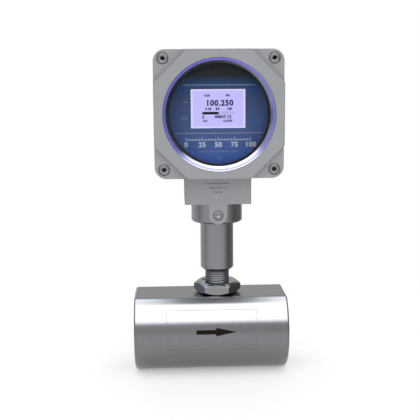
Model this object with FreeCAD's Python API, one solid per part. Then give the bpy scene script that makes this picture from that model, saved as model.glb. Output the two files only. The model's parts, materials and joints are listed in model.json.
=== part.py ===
"""Turbine flow meter: threaded bar body, turbine cartridge, pickup stem and square display head.

Frame: origin at the centre of the foot flat. +X is the flow direction, +Z is up and is parallel
to the stem, and the display looks towards -Y. All sizes are in millimetres.
"""
import FreeCAD
import Part

import math
import os

V = FreeCAD.Vector
X_DIR = V(1, 0, 0)
Y_DIR = V(0, 1, 0)
Z_DIR = V(0, 0, 1)

# ---------------------------------------------------------------- clearances
RUN_GAP = 0.05          # radial clearance of a part that turns in another
SEAT_GAP = 0.02         # radial clearance of a part that is screwed, pressed or glued in
TRIM_GAP = 0.15         # clearance round a loosely seated seal, ring or board
SCREW_END_GAP = 0.3     # free length past the end of a screw or stud
PAST = 1.0              # a cut or an overlap runs this far past the surface it starts from
SAME = 1e-6             # two places closer than this are one

# ---------------------------------------------------------------- meter body
BODY_LENGTH = 100.0
BODY_D = 56.0
FOOT_WIDTH = 16.0
PAD_HEIGHT = 23.7       # bore axis to the flat on top
BODY_EDGE = 1.0         # chamfer round both end faces
PAD_EDGE = 0.8          # chamfer along the flat on top
PORT_D = 33.25          # G1 internal thread, bored plain at its major diameter
PORT_DEPTH = 17.0
PORT_MOUTH = 1.0        # chamfer of the thread mouth
GUIDE_SEAT_D = 25.0
CHAMBER_STEP = 0.5      # shoulder between guide seat and rotor chamber
ROTOR_CHAMBER_LENGTH = 18.0
SNAP_LAND = 2.0         # port floor to snap-ring groove
SNAP_GROOVE_DEPTH = 0.6
SNAP_RING_THICK = 1.2
SNAP_RING_PLAY = 0.1
SNAP_RING_WIDTH = 1.9
SNAP_RING_OPENING = 7.0
STEM_X = 4.9            # stem and rotor centre, downstream of the middle of the body

# ---------------------------------------------------------------- turbine cartridge
HUB_D = 10.0
NOSE_LENGTH = 7.5
NOSE_SETBACK = 0.5      # tip of the nose inside the floor of the port
VANE_COUNT = 5
VANE_THICK = 1.2
GUIDE_RING_LENGTH = 4.0
GUIDE_RING_WALL = 0.9
BLADE_COUNT = 6
BLADE_THICK = 1.0
BLADE_LENGTH = 9.0
BLADE_ANGLE = 38.0      # blade to the flow direction, at the middle of the blade
BLADE_SECTIONS = 5
BLADE_TIP_GAP = 0.35
ROTOR_HUB_LENGTH = 12.0
HUB_GAP = 0.6           # between rotor hub and guide hub
BUSH_STEP = 0.4         # the bush stands this far out of the guide hub
SHAFT_D = 2.0
BUSH_D = 5.0
BUSH_LENGTH = 6.0
BUSH_FLOOR = 1.0
SHAFT_END_GAP = 0.3

# ---------------------------------------------------------------- pickup in its threaded barrel
BARREL_THREAD_D = 16.0
BARREL_THREAD_PITCH = 1.5
BARREL_BORE_D = 10.6
BARREL_FLOOR = 1.0
BARREL_ENGAGEMENT = 12.0     # length screwed into the stem
BARREL_EDGE = 0.8
POCKET_FLOOR = 1.5           # steel left between the pickup and the rotor chamber
POLE_D = 3.0
COIL_LENGTH = 10.0
COIL_D = 9.6
BOBBIN_WALL = 0.8
MAGNET_D = 8.0
MAGNET_LENGTH = 8.0
POTTING_LENGTH = 3.5
CABLE_D = 3.5
NUT_ACROSS_FLATS = 27.0
NUT_HEIGHT = 7.7
NUT_CHAMFER_ANGLE = 35.0
NUT_CHAMFER_INSET = 1.0      # end circle of the chamfer inside the flats
NUT_TURN = -4.0              # angle at which the nut came to rest
THREAD_SHOW = 8.1            # bare thread between the nut and the stem

# ---------------------------------------------------------------- stem
STEM_TUBE_D = 21.8
STEM_TUBE_LENGTH = 32.5
STEM_FOOT_EDGE = 1.6         # chamfer at the lower end of the tube
COLLAR_D = 33.4
COLLAR_SHOW = 13.4           # length of the collar below the neck
COLLAR_EDGE = 0.9
COLLAR_ENTRY = 9.6           # length of the collar inside the neck
SPIGOT_STEP = 4.7            # shoulder between collar and spigot
SPIGOT_STAND = 3.6           # spigot above the floor of the housing
WIRE_BORE_D = 12.0
STEM_CLIP_THICK = 1.2
STEM_CLIP_WIDTH = 2.4
STEM_CLIP_GROOVE = 0.8
STEM_CLIP_OPENING = 9.0
NECK_SEAL_D = 1.8
NECK_SEAL_DROP = 4.0         # seal below the floor of the housing

# ---------------------------------------------------------------- window
VIEW_D = 60.2                # clear opening, inside the gasket
GASKET_SHOW = 0.95           # black edge of the gasket seen inside the bezel
GASKET_THICK = 0.8
BEZEL_WIDTH = 3.25
BEZEL_DEPTH = 3.0
BEZEL_LAND = 0.35            # flat rim at the bezel's outer edge
ACCENT_INSET = 0.35          # rim of the cone to the coloured line
ACCENT_WIDTH = 1.1
ACCENT_DEPTH = 0.5
WINDOW_LIP = 3.0
GLASS_LAP = 2.45             # the glass reaches this far past the bezel
WINDOW_THICK = 4.0
CLAMP_RING_LAP = 2.3         # the threaded ring reaches this far past the glass
CLAMP_RING_SETBACK = 0.7     # and its opening stays this far outside the view
CLAMP_RING_THICK = 2.0
CLAMP_SLOT_WIDTH = 3.0
CLAMP_SLOT_DEPTH = 1.2

# ---------------------------------------------------------------- head
HEAD_FRONT = -39.3           # Y of the raised face
HEAD_SIDE_RIM = 3.6          # metal left beside the clamp ring
HEAD_TOP_RIM = 3.0           # metal left above and below it
HEAD_CORNER_R = 7.2
HEAD_BACK_EDGE = 3.0
HEAD_WALL = 3.2
HEAD_BACK_WALL = 3.5
SPLIT_GAP = 0.5              # clamp ring to the joint between cover and housing
OCTAGON_RAISE = 4.0
OCTAGON_CUT = 20.0           # leg of each corner cut of the raised octagon
OCTAGON_EDGE = 0.5

# neck and tab
NECK_HEIGHT = 18.6
NECK_SIDE_WALL = 4.45        # beside the collar
TAB_WALL = 2.3               # in front of the collar
NECK_EDGE = 1.2
TAB_WIDTH = 11.5
TAB_RISE = 0.5               # lower end of the tab above the lower end of the collar
TAB_FILLET = 1.0
NECK_MARK_DROP = 4.9         # first mark below the top of the neck
NECK_MARK_PITCH = 2.8
NECK_MARK_WIDTHS = (14.7, 9.9, 5.0)
NECK_MARK_HEIGHT = 0.8
NECK_MARK_DEPTH = 0.5
TAB_SCREW_D = 4.0
TAB_SCREW_HEAD_D = 5.3
TAB_SCREW_HEAD_H = 0.9
TAB_SCREW_SINK_D = 6.7
TAB_SCREW_SINK = 1.1
NECK_SCREW_D = 3.0
NECK_SCREW_HEAD_D = 5.5
NECK_SCREW_HEAD_H = 2.0
NECK_SCREW_LENGTH = 9.0
NECK_SCREW_INSET = 5.0       # screw centres from the sides of the neck

# cover screws
COVER_SCREW_INSET_X = 5.8    # screw centres from the sides of the head
COVER_SCREW_INSET_Z = 5.4
COVER_SCREW_D = 4.0
COVER_SCREW_HEAD_D = 5.8
COVER_SCREW_HEAD_H = 3.2
COVER_SINK_D = 6.8
COVER_SINK = 4.0
COVER_SINK_EDGE = 0.8
COVER_SCREW_REACH = 9.0      # thread length in the housing
BOSS_D = 9.0
BOSS_LENGTH = 16.0
BOSS_DRILL = 12.0

# seal between cover and housing
SEAL_WIDTH = 1.4
SEAL_DEPTH = 1.0
SEAL_INSET = 0.9             # seal groove from the outside of the housing

# cable entry in the back
ENTRY_D = 20.0               # M20 x 1.5 internal thread, bored plain at its major diameter
ENTRY_BOSS_WALL = 4.0
ENTRY_BOSS_RAISE = 6.0
ENTRY_MOUTH = 0.8
ENTRY_BOSS_EDGE = 1.0

# ---------------------------------------------------------------- electronics
DIAL_BACKSET = 1.0           # dial behind the joint of the head
DIAL_LAP = 1.7               # the dial reaches this far past the clamp ring's opening
DIAL_THICK = 1.0
LCD_VIEW_WIDTH = 33.6
LCD_VIEW_HEIGHT = 23.8
LCD_RAISE = 3.15             # centre of the screen above the centre of the window
LCD_BORDER = 3.2             # hidden edge of the panel round the view
LCD_THICK = 2.8
LCD_GLASS_RISE = 0.6         # the glass stands up into the opening of the dial
BACKLIGHT_THICK = 3.6
BOARD_THICK = 1.6
BOARD_SIDE_GAP = 6.2         # main board to the side walls
BOARD_TOP_GAP = 4.6
BOARD_FLOOR_GAP = 16.6
BOARD_HOLE_INSET_X = 5.0
BOARD_HOLE_INSET_Z = 4.0
DISPLAY_BOARD_EDGE = 4.0     # screw holes to the edge of the display board
DIAL_POST_D = 4.0
DIAL_POST_INSET = 5.5
DIAL_POST_PITCH_Z = 16.0
SPACER_AF = 5.5
SPACER_LENGTH = 26.0
BOARD_SCREW_D = 3.0
BOARD_SCREW_HEAD_D = 5.5
BOARD_SCREW_HEAD_H = 1.8
BOARD_SCREW_LENGTH = 6.0
POST_D = 6.5
POST_LENGTH = 8.9
PREAMP_DEPTH = 20.0
PREAMP_RAISE = 9.0           # underside of the preamplifier board above the housing floor
PREAMP_POST_GAP = 2.75       # post to the spigot
PREAMP_END = 4.0             # board past the post centres
SOCKET_D = 9.0
SOCKET_HEIGHT = 3.0
TERMINAL_WIDTH = 25.0
TERMINAL_HEIGHT = 9.0
TERMINAL_DEPTH = 7.5
TERMINAL_WAYS = 5
TERMINAL_DROP = 15.0
TERMINAL_SLOT = 3.0
TERMINAL_SLOT_INSET = 1.0
RIBBON_WIDTH = 20.0
RIBBON_THICK = 1.0
RIBBON_RAISE = 15.0
CAPACITOR_D = 8.0
CAPACITOR_LENGTH = 12.0
CAPACITOR_PITCH = 12.0
CAPACITOR_DROP = 12.0
CHIP_SIDE = 10.0
CHIP_THICK = 1.4

# ---------------------------------------------------------------- worked out from the sizes above
# body and cartridge
AXIS_Z = math.sqrt((BODY_D / 2) ** 2 - (FOOT_WIDTH / 2) ** 2)
PAD_Z = AXIS_Z + PAD_HEIGHT
ROTOR_CHAMBER_D = GUIDE_SEAT_D - 2 * CHAMBER_STEP
PORT_FLOOR_X = BODY_LENGTH / 2 - PORT_DEPTH
GROOVE_WIDTH = SNAP_RING_THICK + SNAP_RING_PLAY
GUIDE_OUT_X = PORT_FLOOR_X - SNAP_LAND - GROOVE_WIDTH
CHAMBER_LOW_X = STEM_X - ROTOR_CHAMBER_LENGTH / 2
CHAMBER_HIGH_X = STEM_X + ROTOR_CHAMBER_LENGTH / 2
HUB_END = ROTOR_HUB_LENGTH / 2 + HUB_GAP

# pickup and stem
THREAD_D = BARREL_THREAD_D - 0.65 * BARREL_THREAD_PITCH
POCKET_Z = AXIS_Z + ROTOR_CHAMBER_D / 2 + POCKET_FLOOR
COIL_Z = POCKET_Z + BARREL_FLOOR
MAGNET_Z = COIL_Z + COIL_LENGTH
POTTING_Z = MAGNET_Z + MAGNET_LENGTH
NUT_TOP_Z = PAD_Z + NUT_HEIGHT
STEM_Z = NUT_TOP_Z + THREAD_SHOW
BARREL_TOP_Z = STEM_Z + BARREL_ENGAGEMENT
COLLAR_Z = STEM_Z + STEM_TUBE_LENGTH
SPIGOT_D = COLLAR_D - 2 * SPIGOT_STEP

# window, outwards from its centre and backwards from the face
BEZEL_INNER_D = VIEW_D + 2 * GASKET_SHOW
BEZEL_OUTER_D = BEZEL_INNER_D + 2 * BEZEL_WIDTH
CONE_TOP_R = BEZEL_OUTER_D / 2 - BEZEL_LAND
WINDOW_D = BEZEL_INNER_D + 2 * GLASS_LAP
CLAMP_RING_INNER_D = VIEW_D + 2 * CLAMP_RING_SETBACK
CLAMP_RING_D = WINDOW_D + 2 * CLAMP_RING_LAP
DIAL_D = CLAMP_RING_INNER_D + 2 * DIAL_LAP
LIP_FRONT = HEAD_FRONT + BEZEL_DEPTH
LIP_BACK = LIP_FRONT + WINDOW_LIP
GLASS_FRONT = LIP_BACK + GASKET_THICK
GLASS_BACK = GLASS_FRONT + WINDOW_THICK
HEAD_SPLIT = GLASS_BACK + CLAMP_RING_THICK + SPLIT_GAP
COVER_FLANGE = HEAD_FRONT + OCTAGON_RAISE

# electronics, backwards from the joint of the head
DIAL_FRONT = HEAD_SPLIT + DIAL_BACKSET
LCD_FRONT = DIAL_FRONT + DIAL_THICK
BACKLIGHT_FRONT = LCD_FRONT + LCD_THICK
DISPLAY_BOARD_FRONT = BACKLIGHT_FRONT + BACKLIGHT_THICK
DISPLAY_BOARD_BACK = DISPLAY_BOARD_FRONT + BOARD_THICK
MAIN_BOARD_FRONT = DISPLAY_BOARD_BACK + SPACER_LENGTH
MAIN_BOARD_BACK = MAIN_BOARD_FRONT + BOARD_THICK
BACK_INSIDE = MAIN_BOARD_BACK + POST_LENGTH
HEAD_BACK = BACK_INSIDE + HEAD_BACK_WALL

# head, upwards
HEAD_WIDTH = CLAMP_RING_D + 2 * HEAD_SIDE_RIM
HEAD_HEIGHT = CLAMP_RING_D + 2 * HEAD_TOP_RIM
NECK_WIDTH = COLLAR_D + 2 * NECK_SIDE_WALL
NECK_DEPTH = COLLAR_D + 2 * TAB_WALL
NECK_Z = COLLAR_Z + COLLAR_SHOW
NECK_SHOULDER_Z = NECK_Z + COLLAR_ENTRY
HEAD_Z = NECK_Z + NECK_HEIGHT
HEAD_TOP_Z = HEAD_Z + HEAD_HEIGHT
FLOOR_Z = HEAD_Z + HEAD_WALL
SPIGOT_TOP_Z = FLOOR_Z + SPIGOT_STAND
WINDOW_Z = HEAD_Z + HEAD_HEIGHT / 2
TAB_SCREW_Z = COLLAR_Z + TAB_RISE + TAB_WIDTH / 2
COVER_SCREW_PITCH_X = HEAD_WIDTH - 2 * COVER_SCREW_INSET_X
COVER_SCREW_PITCH_Z = HEAD_HEIGHT - 2 * COVER_SCREW_INSET_Z
LCD_Z = WINDOW_Z + LCD_RAISE
MAIN_BOARD_WIDTH = HEAD_WIDTH - 2 * HEAD_WALL - 2 * BOARD_SIDE_GAP
MAIN_BOARD_HEIGHT = HEAD_HEIGHT - 2 * HEAD_WALL - BOARD_TOP_GAP - BOARD_FLOOR_GAP
BOARDS_Z = FLOOR_Z + BOARD_FLOOR_GAP + MAIN_BOARD_HEIGHT / 2
SPACER_PITCH_X = MAIN_BOARD_WIDTH - 2 * BOARD_HOLE_INSET_X
SPACER_PITCH_Z = MAIN_BOARD_HEIGHT - 2 * BOARD_HOLE_INSET_Z
PREAMP_Z = FLOOR_Z + PREAMP_RAISE
PREAMP_POST_PITCH = SPIGOT_D + POST_D + 2 * PREAMP_POST_GAP


# ---------------------------------------------------------------- helpers
def rod(d, start, direction, length):
    """Solid cylinder of diameter d."""
    return Part.makeCylinder(d / 2, length, start, direction)


def tube(outer_d, inner_d, start, direction, length):
    """Round tube."""
    return rod(outer_d, start, direction, length).cut(rod(inner_d, start, direction, length))


def cone(d1, d2, start, direction, length):
    """Truncated cone from diameter d1 to diameter d2."""
    return Part.makeCone(d1 / 2, d2 / 2, length, start, direction)


def box(x, y, z):
    """Box from three (low, high) pairs."""
    return Part.makeBox(x[1] - x[0], y[1] - y[0], z[1] - z[0], V(x[0], y[0], z[0]))


def centred(middle, width):
    """(low, high) pair about a middle."""
    return (middle - width / 2, middle + width / 2)


def revolve(points, axis_point, axis):
    """Full turn of a closed outline about an axis."""
    face = Part.Face(Part.makePolygon(points + [points[0]]))
    return face.revolve(axis_point, axis, 360)


def prism(points, direction):
    """Straight extrusion of a closed outline."""
    return Part.Face(Part.makePolygon(points + [points[0]])).extrude(direction)


def rounded_block(x, y, z, radius):
    """Block whose four edges along Y are rounded."""
    block = box(x, y, z)
    edges = [e for e in block.Edges if abs(e.tangentAt(e.FirstParameter).y) > 0.9]
    return block.makeFillet(radius, edges)


def hexagon(across_flats, start, length_vector):
    """Hexagonal bar along Z or Y with two flats facing across the other level axis."""
    corner_r = across_flats / math.sqrt(3)
    points = []
    for i in range(6):
        a = math.radians(60 * i)
        if abs(length_vector.z) > 0:
            offset = V(corner_r * math.cos(a), corner_r * math.sin(a), 0)
        else:
            offset = V(corner_r * math.cos(a), 0, corner_r * math.sin(a))
        points.append(start + offset)
    return prism(points, length_vector)


def fuse(shapes):
    """Join shapes into one solid and drop the seams between them."""
    return shapes[0].multiFuse(shapes[1:]).removeSplitter()


def corners(pitch_x, pitch_z, middle_z):
    """Four (x, z) places about the stem axis."""
    places = []
    for sx in (-1, 1):
        for sz in (-1, 1):
            places.append((STEM_X + sx * pitch_x / 2, middle_z + sz * pitch_z / 2))
    return places


# ---------------------------------------------------------------- meter body
def make_body():
    axis_low = V(-BODY_LENGTH / 2, 0, AXIS_Z)
    bar = rod(BODY_D, axis_low, X_DIR, BODY_LENGTH)
    keep = box((-BODY_LENGTH, BODY_LENGTH), (-BODY_D, BODY_D), (0, PAD_Z))
    bar = bar.common(keep)
    pad = [e for e in bar.Edges if abs(e.CenterOfMass.x) < SAME and e.CenterOfMass.z > AXIS_Z]
    bar = bar.makeChamfer(PAD_EDGE, [e for e in pad if abs(e.CenterOfMass.z - PAD_Z) < SAME])
    ends = [e for e in bar.Edges if abs(abs(e.CenterOfMass.x) - BODY_LENGTH / 2) < SAME]
    bar = bar.makeChamfer(BODY_EDGE, ends)
    bar = bar.cut(rod(ROTOR_CHAMBER_D, axis_low, X_DIR, BODY_LENGTH))
    for side in (-1, 1):
        bar = bar.cut(end_bore(side))
    pocket = rod(THREAD_D + 2 * SEAT_GAP, V(STEM_X, 0, POCKET_Z), Z_DIR, BODY_D)
    return bar.cut(pocket)


def end_bore(side):
    """Everything that is bored from one end: guide seat, ring groove, port and its mouth."""
    out = X_DIR * side
    chamber_x = CHAMBER_HIGH_X if side > 0 else CHAMBER_LOW_X
    seat = rod(GUIDE_SEAT_D, V(chamber_x, 0, AXIS_Z), out, BODY_LENGTH)
    groove = rod(GUIDE_SEAT_D + 2 * SNAP_GROOVE_DEPTH, V(side * GUIDE_OUT_X, 0, AXIS_Z), out, GROOVE_WIDTH)
    port = rod(PORT_D, V(side * PORT_FLOOR_X, 0, AXIS_Z), out, BODY_LENGTH)
    mouth_start = V(side * (BODY_LENGTH / 2 - PORT_MOUTH), 0, AXIS_Z)
    mouth = cone(PORT_D, PORT_D + 2 * PORT_MOUTH, mouth_start, out, PORT_MOUTH)
    return seat.multiFuse([groove, port, mouth])


def make_snap_rings():
    """Two internal snap rings, each open at the top, with lugs beside the opening."""
    outer_d = GUIDE_SEAT_D + 2 * SNAP_GROOVE_DEPTH - 2 * TRIM_GAP
    inner_d = outer_d - 2 * SNAP_RING_WIDTH
    rings = []
    for side in (-1, 1):
        start = V(side * GUIDE_OUT_X, 0, AXIS_Z)
        ring = tube(outer_d, inner_d, start, X_DIR * side, SNAP_RING_THICK)
        x = sorted((side * GUIDE_OUT_X, side * (GUIDE_OUT_X + SNAP_RING_THICK)))
        gap = box(x, centred(0, SNAP_RING_OPENING), (AXIS_Z, AXIS_Z + outer_d))
        rings.append(ring.cut(gap))
    return Part.makeCompound(rings)


# ---------------------------------------------------------------- turbine cartridge
def guide_hub(side, out_x, in_x):
    """Hub with a rounded nose at its outer end, made by turning an ogive."""
    r = HUB_D / 2
    ogive_r = (r ** 2 + NOSE_LENGTH ** 2) / (2 * r)
    half_turn = math.asin(NOSE_LENGTH / ogive_r) / 2
    base_x = out_x - side * NOSE_LENGTH
    mid = V(base_x + side * ogive_r * math.sin(half_turn), 0, r - ogive_r * (1 - math.cos(half_turn)))
    lift = V(0, 0, AXIS_Z)
    tip = V(out_x, 0, 0) + lift
    base = V(base_x, 0, r) + lift
    edges = [Part.Arc(tip, mid + lift, base).toShape()]
    rim = V(in_x, 0, r) + lift
    centre = V(in_x, 0, 0) + lift
    edges += [Part.makeLine(base, rim), Part.makeLine(rim, centre), Part.makeLine(centre, tip)]
    return Part.Face(Part.Wire(edges)).revolve(lift, X_DIR, 360)


def make_guide(side):
    """Flow straightener: ogive hub, radial vanes and a mounting ring behind the snap ring."""
    in_x = STEM_X + side * HUB_END
    shoulder_x = CHAMBER_HIGH_X if side > 0 else CHAMBER_LOW_X
    ring_out = side * GUIDE_OUT_X
    outer_d = GUIDE_SEAT_D - 2 * SEAT_GAP
    hub = guide_hub(side, side * (PORT_FLOOR_X - NOSE_SETBACK), in_x)
    span = sorted((shoulder_x, ring_out))
    envelope = rod(outer_d, V(span[0], 0, AXIS_Z), X_DIR, span[1] - span[0])
    parts = [hub]
    for i in range(VANE_COUNT):
        vane = box(span, centred(0, VANE_THICK), (AXIS_Z + HUB_D / 4, AXIS_Z + outer_d))
        vane.rotate(V(0, 0, AXIS_Z), X_DIR, 360 / VANE_COUNT * i)
        parts.append(vane.common(envelope))
    ring_start = V(ring_out, 0, AXIS_Z)
    parts.append(tube(outer_d, outer_d - 2 * GUIDE_RING_WALL, ring_start, X_DIR * -side, GUIDE_RING_LENGTH))
    guide = fuse(parts)
    drill_depth = BUSH_LENGTH - BUSH_STEP
    return guide.cut(rod(BUSH_D + 2 * SEAT_GAP, V(in_x, 0, AXIS_Z), X_DIR * side, drill_depth))


def make_bush(side):
    """Bearing bush pressed into a guide hub, with a blind bore for the shaft end."""
    face_x = STEM_X + side * (HUB_END - BUSH_STEP)
    start = V(face_x, 0, AXIS_Z)
    bush = rod(BUSH_D, start, X_DIR * side, BUSH_LENGTH)
    blind = BUSH_LENGTH - BUSH_FLOOR
    return bush.cut(rod(SHAFT_D + 2 * RUN_GAP, start, X_DIR * side, blind))


def blade_section(x):
    """Outline of one blade across the shaft, turned about it as the helix asks."""
    mean_r = (HUB_D + ROTOR_CHAMBER_D) / 4
    turn = math.tan(math.radians(BLADE_ANGLE)) * (x - STEM_X) / mean_r
    half = BLADE_THICK / math.cos(math.radians(BLADE_ANGLE)) / 2
    low = HUB_D / 2 - PAST
    high = ROTOR_CHAMBER_D / 2 + PAST
    points = []
    for across, up in ((-half, low), (half, low), (half, high), (-half, high)):
        y = across * math.cos(turn) - up * math.sin(turn)
        z = across * math.sin(turn) + up * math.cos(turn)
        points.append(V(x, y, AXIS_Z + z))
    return Part.makePolygon(points + [points[0]])


def make_rotor():
    """Rotor: hub with helical blades whose tips follow the chamber wall."""
    start = V(STEM_X - ROTOR_HUB_LENGTH / 2, 0, AXIS_Z)
    hub = rod(HUB_D, start, X_DIR, ROTOR_HUB_LENGTH)
    sections = []
    for i in range(BLADE_SECTIONS):
        share = i / (BLADE_SECTIONS - 1) - 0.5
        sections.append(blade_section(STEM_X + share * BLADE_LENGTH))
    blade = Part.makeLoft(sections, True, False)
    tip_d = ROTOR_CHAMBER_D - 2 * BLADE_TIP_GAP
    blade = blade.common(rod(tip_d, start, X_DIR, ROTOR_HUB_LENGTH))
    parts = [hub]
    for i in range(BLADE_COUNT):
        copy = blade.copy()
        copy.rotate(V(0, 0, AXIS_Z), X_DIR, 360 / BLADE_COUNT * i)
        parts.append(copy)
    rotor = fuse(parts)
    return rotor.cut(rod(SHAFT_D + 2 * SEAT_GAP, start, X_DIR, ROTOR_HUB_LENGTH))


def make_rotor_shaft():
    reach = HUB_END - BUSH_STEP + BUSH_LENGTH - BUSH_FLOOR - SHAFT_END_GAP
    return rod(SHAFT_D, V(STEM_X - reach, 0, AXIS_Z), X_DIR, 2 * reach)


# ---------------------------------------------------------------- pickup
def stem_point(z):
    return V(STEM_X, 0, z)


def make_pickup_barrel():
    """Threaded barrel that closes at its lower end over the rotor."""
    length = BARREL_TOP_Z - POCKET_Z
    barrel = rod(THREAD_D, stem_point(POCKET_Z), Z_DIR, length)
    barrel = barrel.makeChamfer(BARREL_EDGE, [e for e in barrel.Edges if len(e.Vertexes) == 1])
    return barrel.cut(rod(BARREL_BORE_D, stem_point(COIL_Z), Z_DIR, length))


def make_pole_piece():
    return rod(POLE_D, stem_point(COIL_Z), Z_DIR, COIL_LENGTH)


def make_coil_bobbin():
    flange_d = BARREL_BORE_D - 2 * SEAT_GAP
    core = rod(POLE_D + 2 * BOBBIN_WALL, stem_point(COIL_Z), Z_DIR, COIL_LENGTH)
    low = rod(flange_d, stem_point(COIL_Z), Z_DIR, BOBBIN_WALL)
    high = rod(flange_d, stem_point(MAGNET_Z - BOBBIN_WALL), Z_DIR, BOBBIN_WALL)
    spool = fuse([core, low, high])
    return spool.cut(rod(POLE_D + 2 * SEAT_GAP, stem_point(COIL_Z), Z_DIR, COIL_LENGTH))


def make_coil_winding():
    start = stem_point(COIL_Z + BOBBIN_WALL)
    inner_d = POLE_D + 2 * BOBBIN_WALL + 2 * SEAT_GAP
    return tube(COIL_D, inner_d, start, Z_DIR, COIL_LENGTH - 2 * BOBBIN_WALL)


def make_magnet():
    return rod(MAGNET_D, stem_point(MAGNET_Z), Z_DIR, MAGNET_LENGTH)


def make_potting_plug():
    """Resin plug that holds the magnet down and lets the cable out."""
    return rod(BARREL_BORE_D - 2 * SEAT_GAP, stem_point(POTTING_Z), Z_DIR, POTTING_LENGTH)


def make_signal_cable():
    """Straight cable on the stem axis, from the pickup to the socket in the head."""
    low = POTTING_Z + POTTING_LENGTH
    return rod(CABLE_D, stem_point(low), Z_DIR, PREAMP_Z - SOCKET_HEIGHT - low)


def make_lock_nut():
    """Hexagon nut with both faces turned to a cone at the corners."""
    bar = hexagon(NUT_ACROSS_FLATS, stem_point(PAD_Z), Z_DIR * NUT_HEIGHT)
    top_r = NUT_ACROSS_FLATS / 2 - NUT_CHAMFER_INSET
    corner_r = NUT_ACROSS_FLATS / math.sqrt(3) + PAST
    drop = (corner_r - top_r) * math.tan(math.radians(NUT_CHAMFER_ANGLE))
    outline = [(0, 0), (top_r, 0), (corner_r, drop), (corner_r, NUT_HEIGHT - drop)]
    outline += [(top_r, NUT_HEIGHT), (0, NUT_HEIGHT)]
    points = [V(STEM_X + r, 0, PAD_Z + z) for r, z in outline]
    turned = revolve(points, stem_point(0), Z_DIR)
    nut = bar.common(turned)
    bore_d = THREAD_D + 2 * RUN_GAP
    nut = nut.cut(rod(bore_d, stem_point(PAD_Z), Z_DIR, NUT_HEIGHT))
    top = stem_point(NUT_TOP_Z - BARREL_EDGE)
    nut = nut.cut(cone(bore_d, bore_d + 2 * BARREL_EDGE, top, Z_DIR, BARREL_EDGE))
    nut.rotate(stem_point(0), Z_DIR, NUT_TURN)
    return nut


# ---------------------------------------------------------------- stem
def make_stem():
    """Turned stem: tube, collar and the spigot that the head turns on."""
    tube_r = STEM_TUBE_D / 2
    collar_r = COLLAR_D / 2
    spigot_r = SPIGOT_D / 2
    outline = [(0, STEM_Z), (tube_r - STEM_FOOT_EDGE, STEM_Z), (tube_r, STEM_Z + STEM_FOOT_EDGE)]
    outline += [(tube_r, COLLAR_Z), (collar_r - COLLAR_EDGE, COLLAR_Z)]
    outline += [(collar_r, COLLAR_Z + COLLAR_EDGE), (collar_r, NECK_SHOULDER_Z)]
    outline += [(spigot_r, NECK_SHOULDER_Z), (spigot_r, SPIGOT_TOP_Z), (0, SPIGOT_TOP_Z)]
    stem = revolve([V(STEM_X + r, 0, z) for r, z in outline], stem_point(0), Z_DIR)
    socket_d = THREAD_D + 2 * SEAT_GAP
    stem = stem.cut(rod(socket_d, stem_point(STEM_Z), Z_DIR, BARREL_ENGAGEMENT))
    stem = stem.cut(rod(WIRE_BORE_D, stem_point(STEM_Z), Z_DIR, SPIGOT_TOP_Z - STEM_Z))
    clip = stem_clip_groove()
    seal_low = FLOOR_Z - NECK_SEAL_DROP - NECK_SEAL_D / 2
    seal = tube(SPIGOT_D + PAST, SPIGOT_D - 2 * NECK_SEAL_D, stem_point(seal_low), Z_DIR, NECK_SEAL_D)
    return stem.cut(clip).cut(seal)


def stem_clip_groove():
    start = stem_point(FLOOR_Z)
    inner_d = SPIGOT_D - 2 * STEM_CLIP_GROOVE
    return tube(SPIGOT_D + PAST, inner_d, start, Z_DIR, STEM_CLIP_THICK + TRIM_GAP)


def make_stem_clip():
    """External ring in the spigot's groove, which keeps the head on the stem."""
    inner_d = SPIGOT_D - 2 * STEM_CLIP_GROOVE + 2 * SEAT_GAP
    outer_d = inner_d + 2 * STEM_CLIP_WIDTH
    start = stem_point(FLOOR_Z + TRIM_GAP)
    ring = tube(outer_d, inner_d, start, Z_DIR, STEM_CLIP_THICK - TRIM_GAP)
    opening = box(centred(STEM_X, STEM_CLIP_OPENING), (0, outer_d), (FLOOR_Z, SPIGOT_TOP_Z))
    return ring.cut(opening)


def make_neck_seal():
    """Square-section seal in the spigot's groove."""
    inner_d = SPIGOT_D - 2 * NECK_SEAL_D + 2 * SEAT_GAP
    start = stem_point(FLOOR_Z - NECK_SEAL_DROP - NECK_SEAL_D / 2 + SEAT_GAP)
    return tube(SPIGOT_D, inner_d, start, Z_DIR, NECK_SEAL_D - 2 * SEAT_GAP)


# ---------------------------------------------------------------- housing
def head_block(y, inset, radius):
    """Rounded block of the head's outline, drawn in by an inset."""
    x = centred(STEM_X, HEAD_WIDTH - 2 * inset)
    z = (HEAD_Z + inset, HEAD_TOP_Z - inset)
    return rounded_block(x, y, z, radius)


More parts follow.
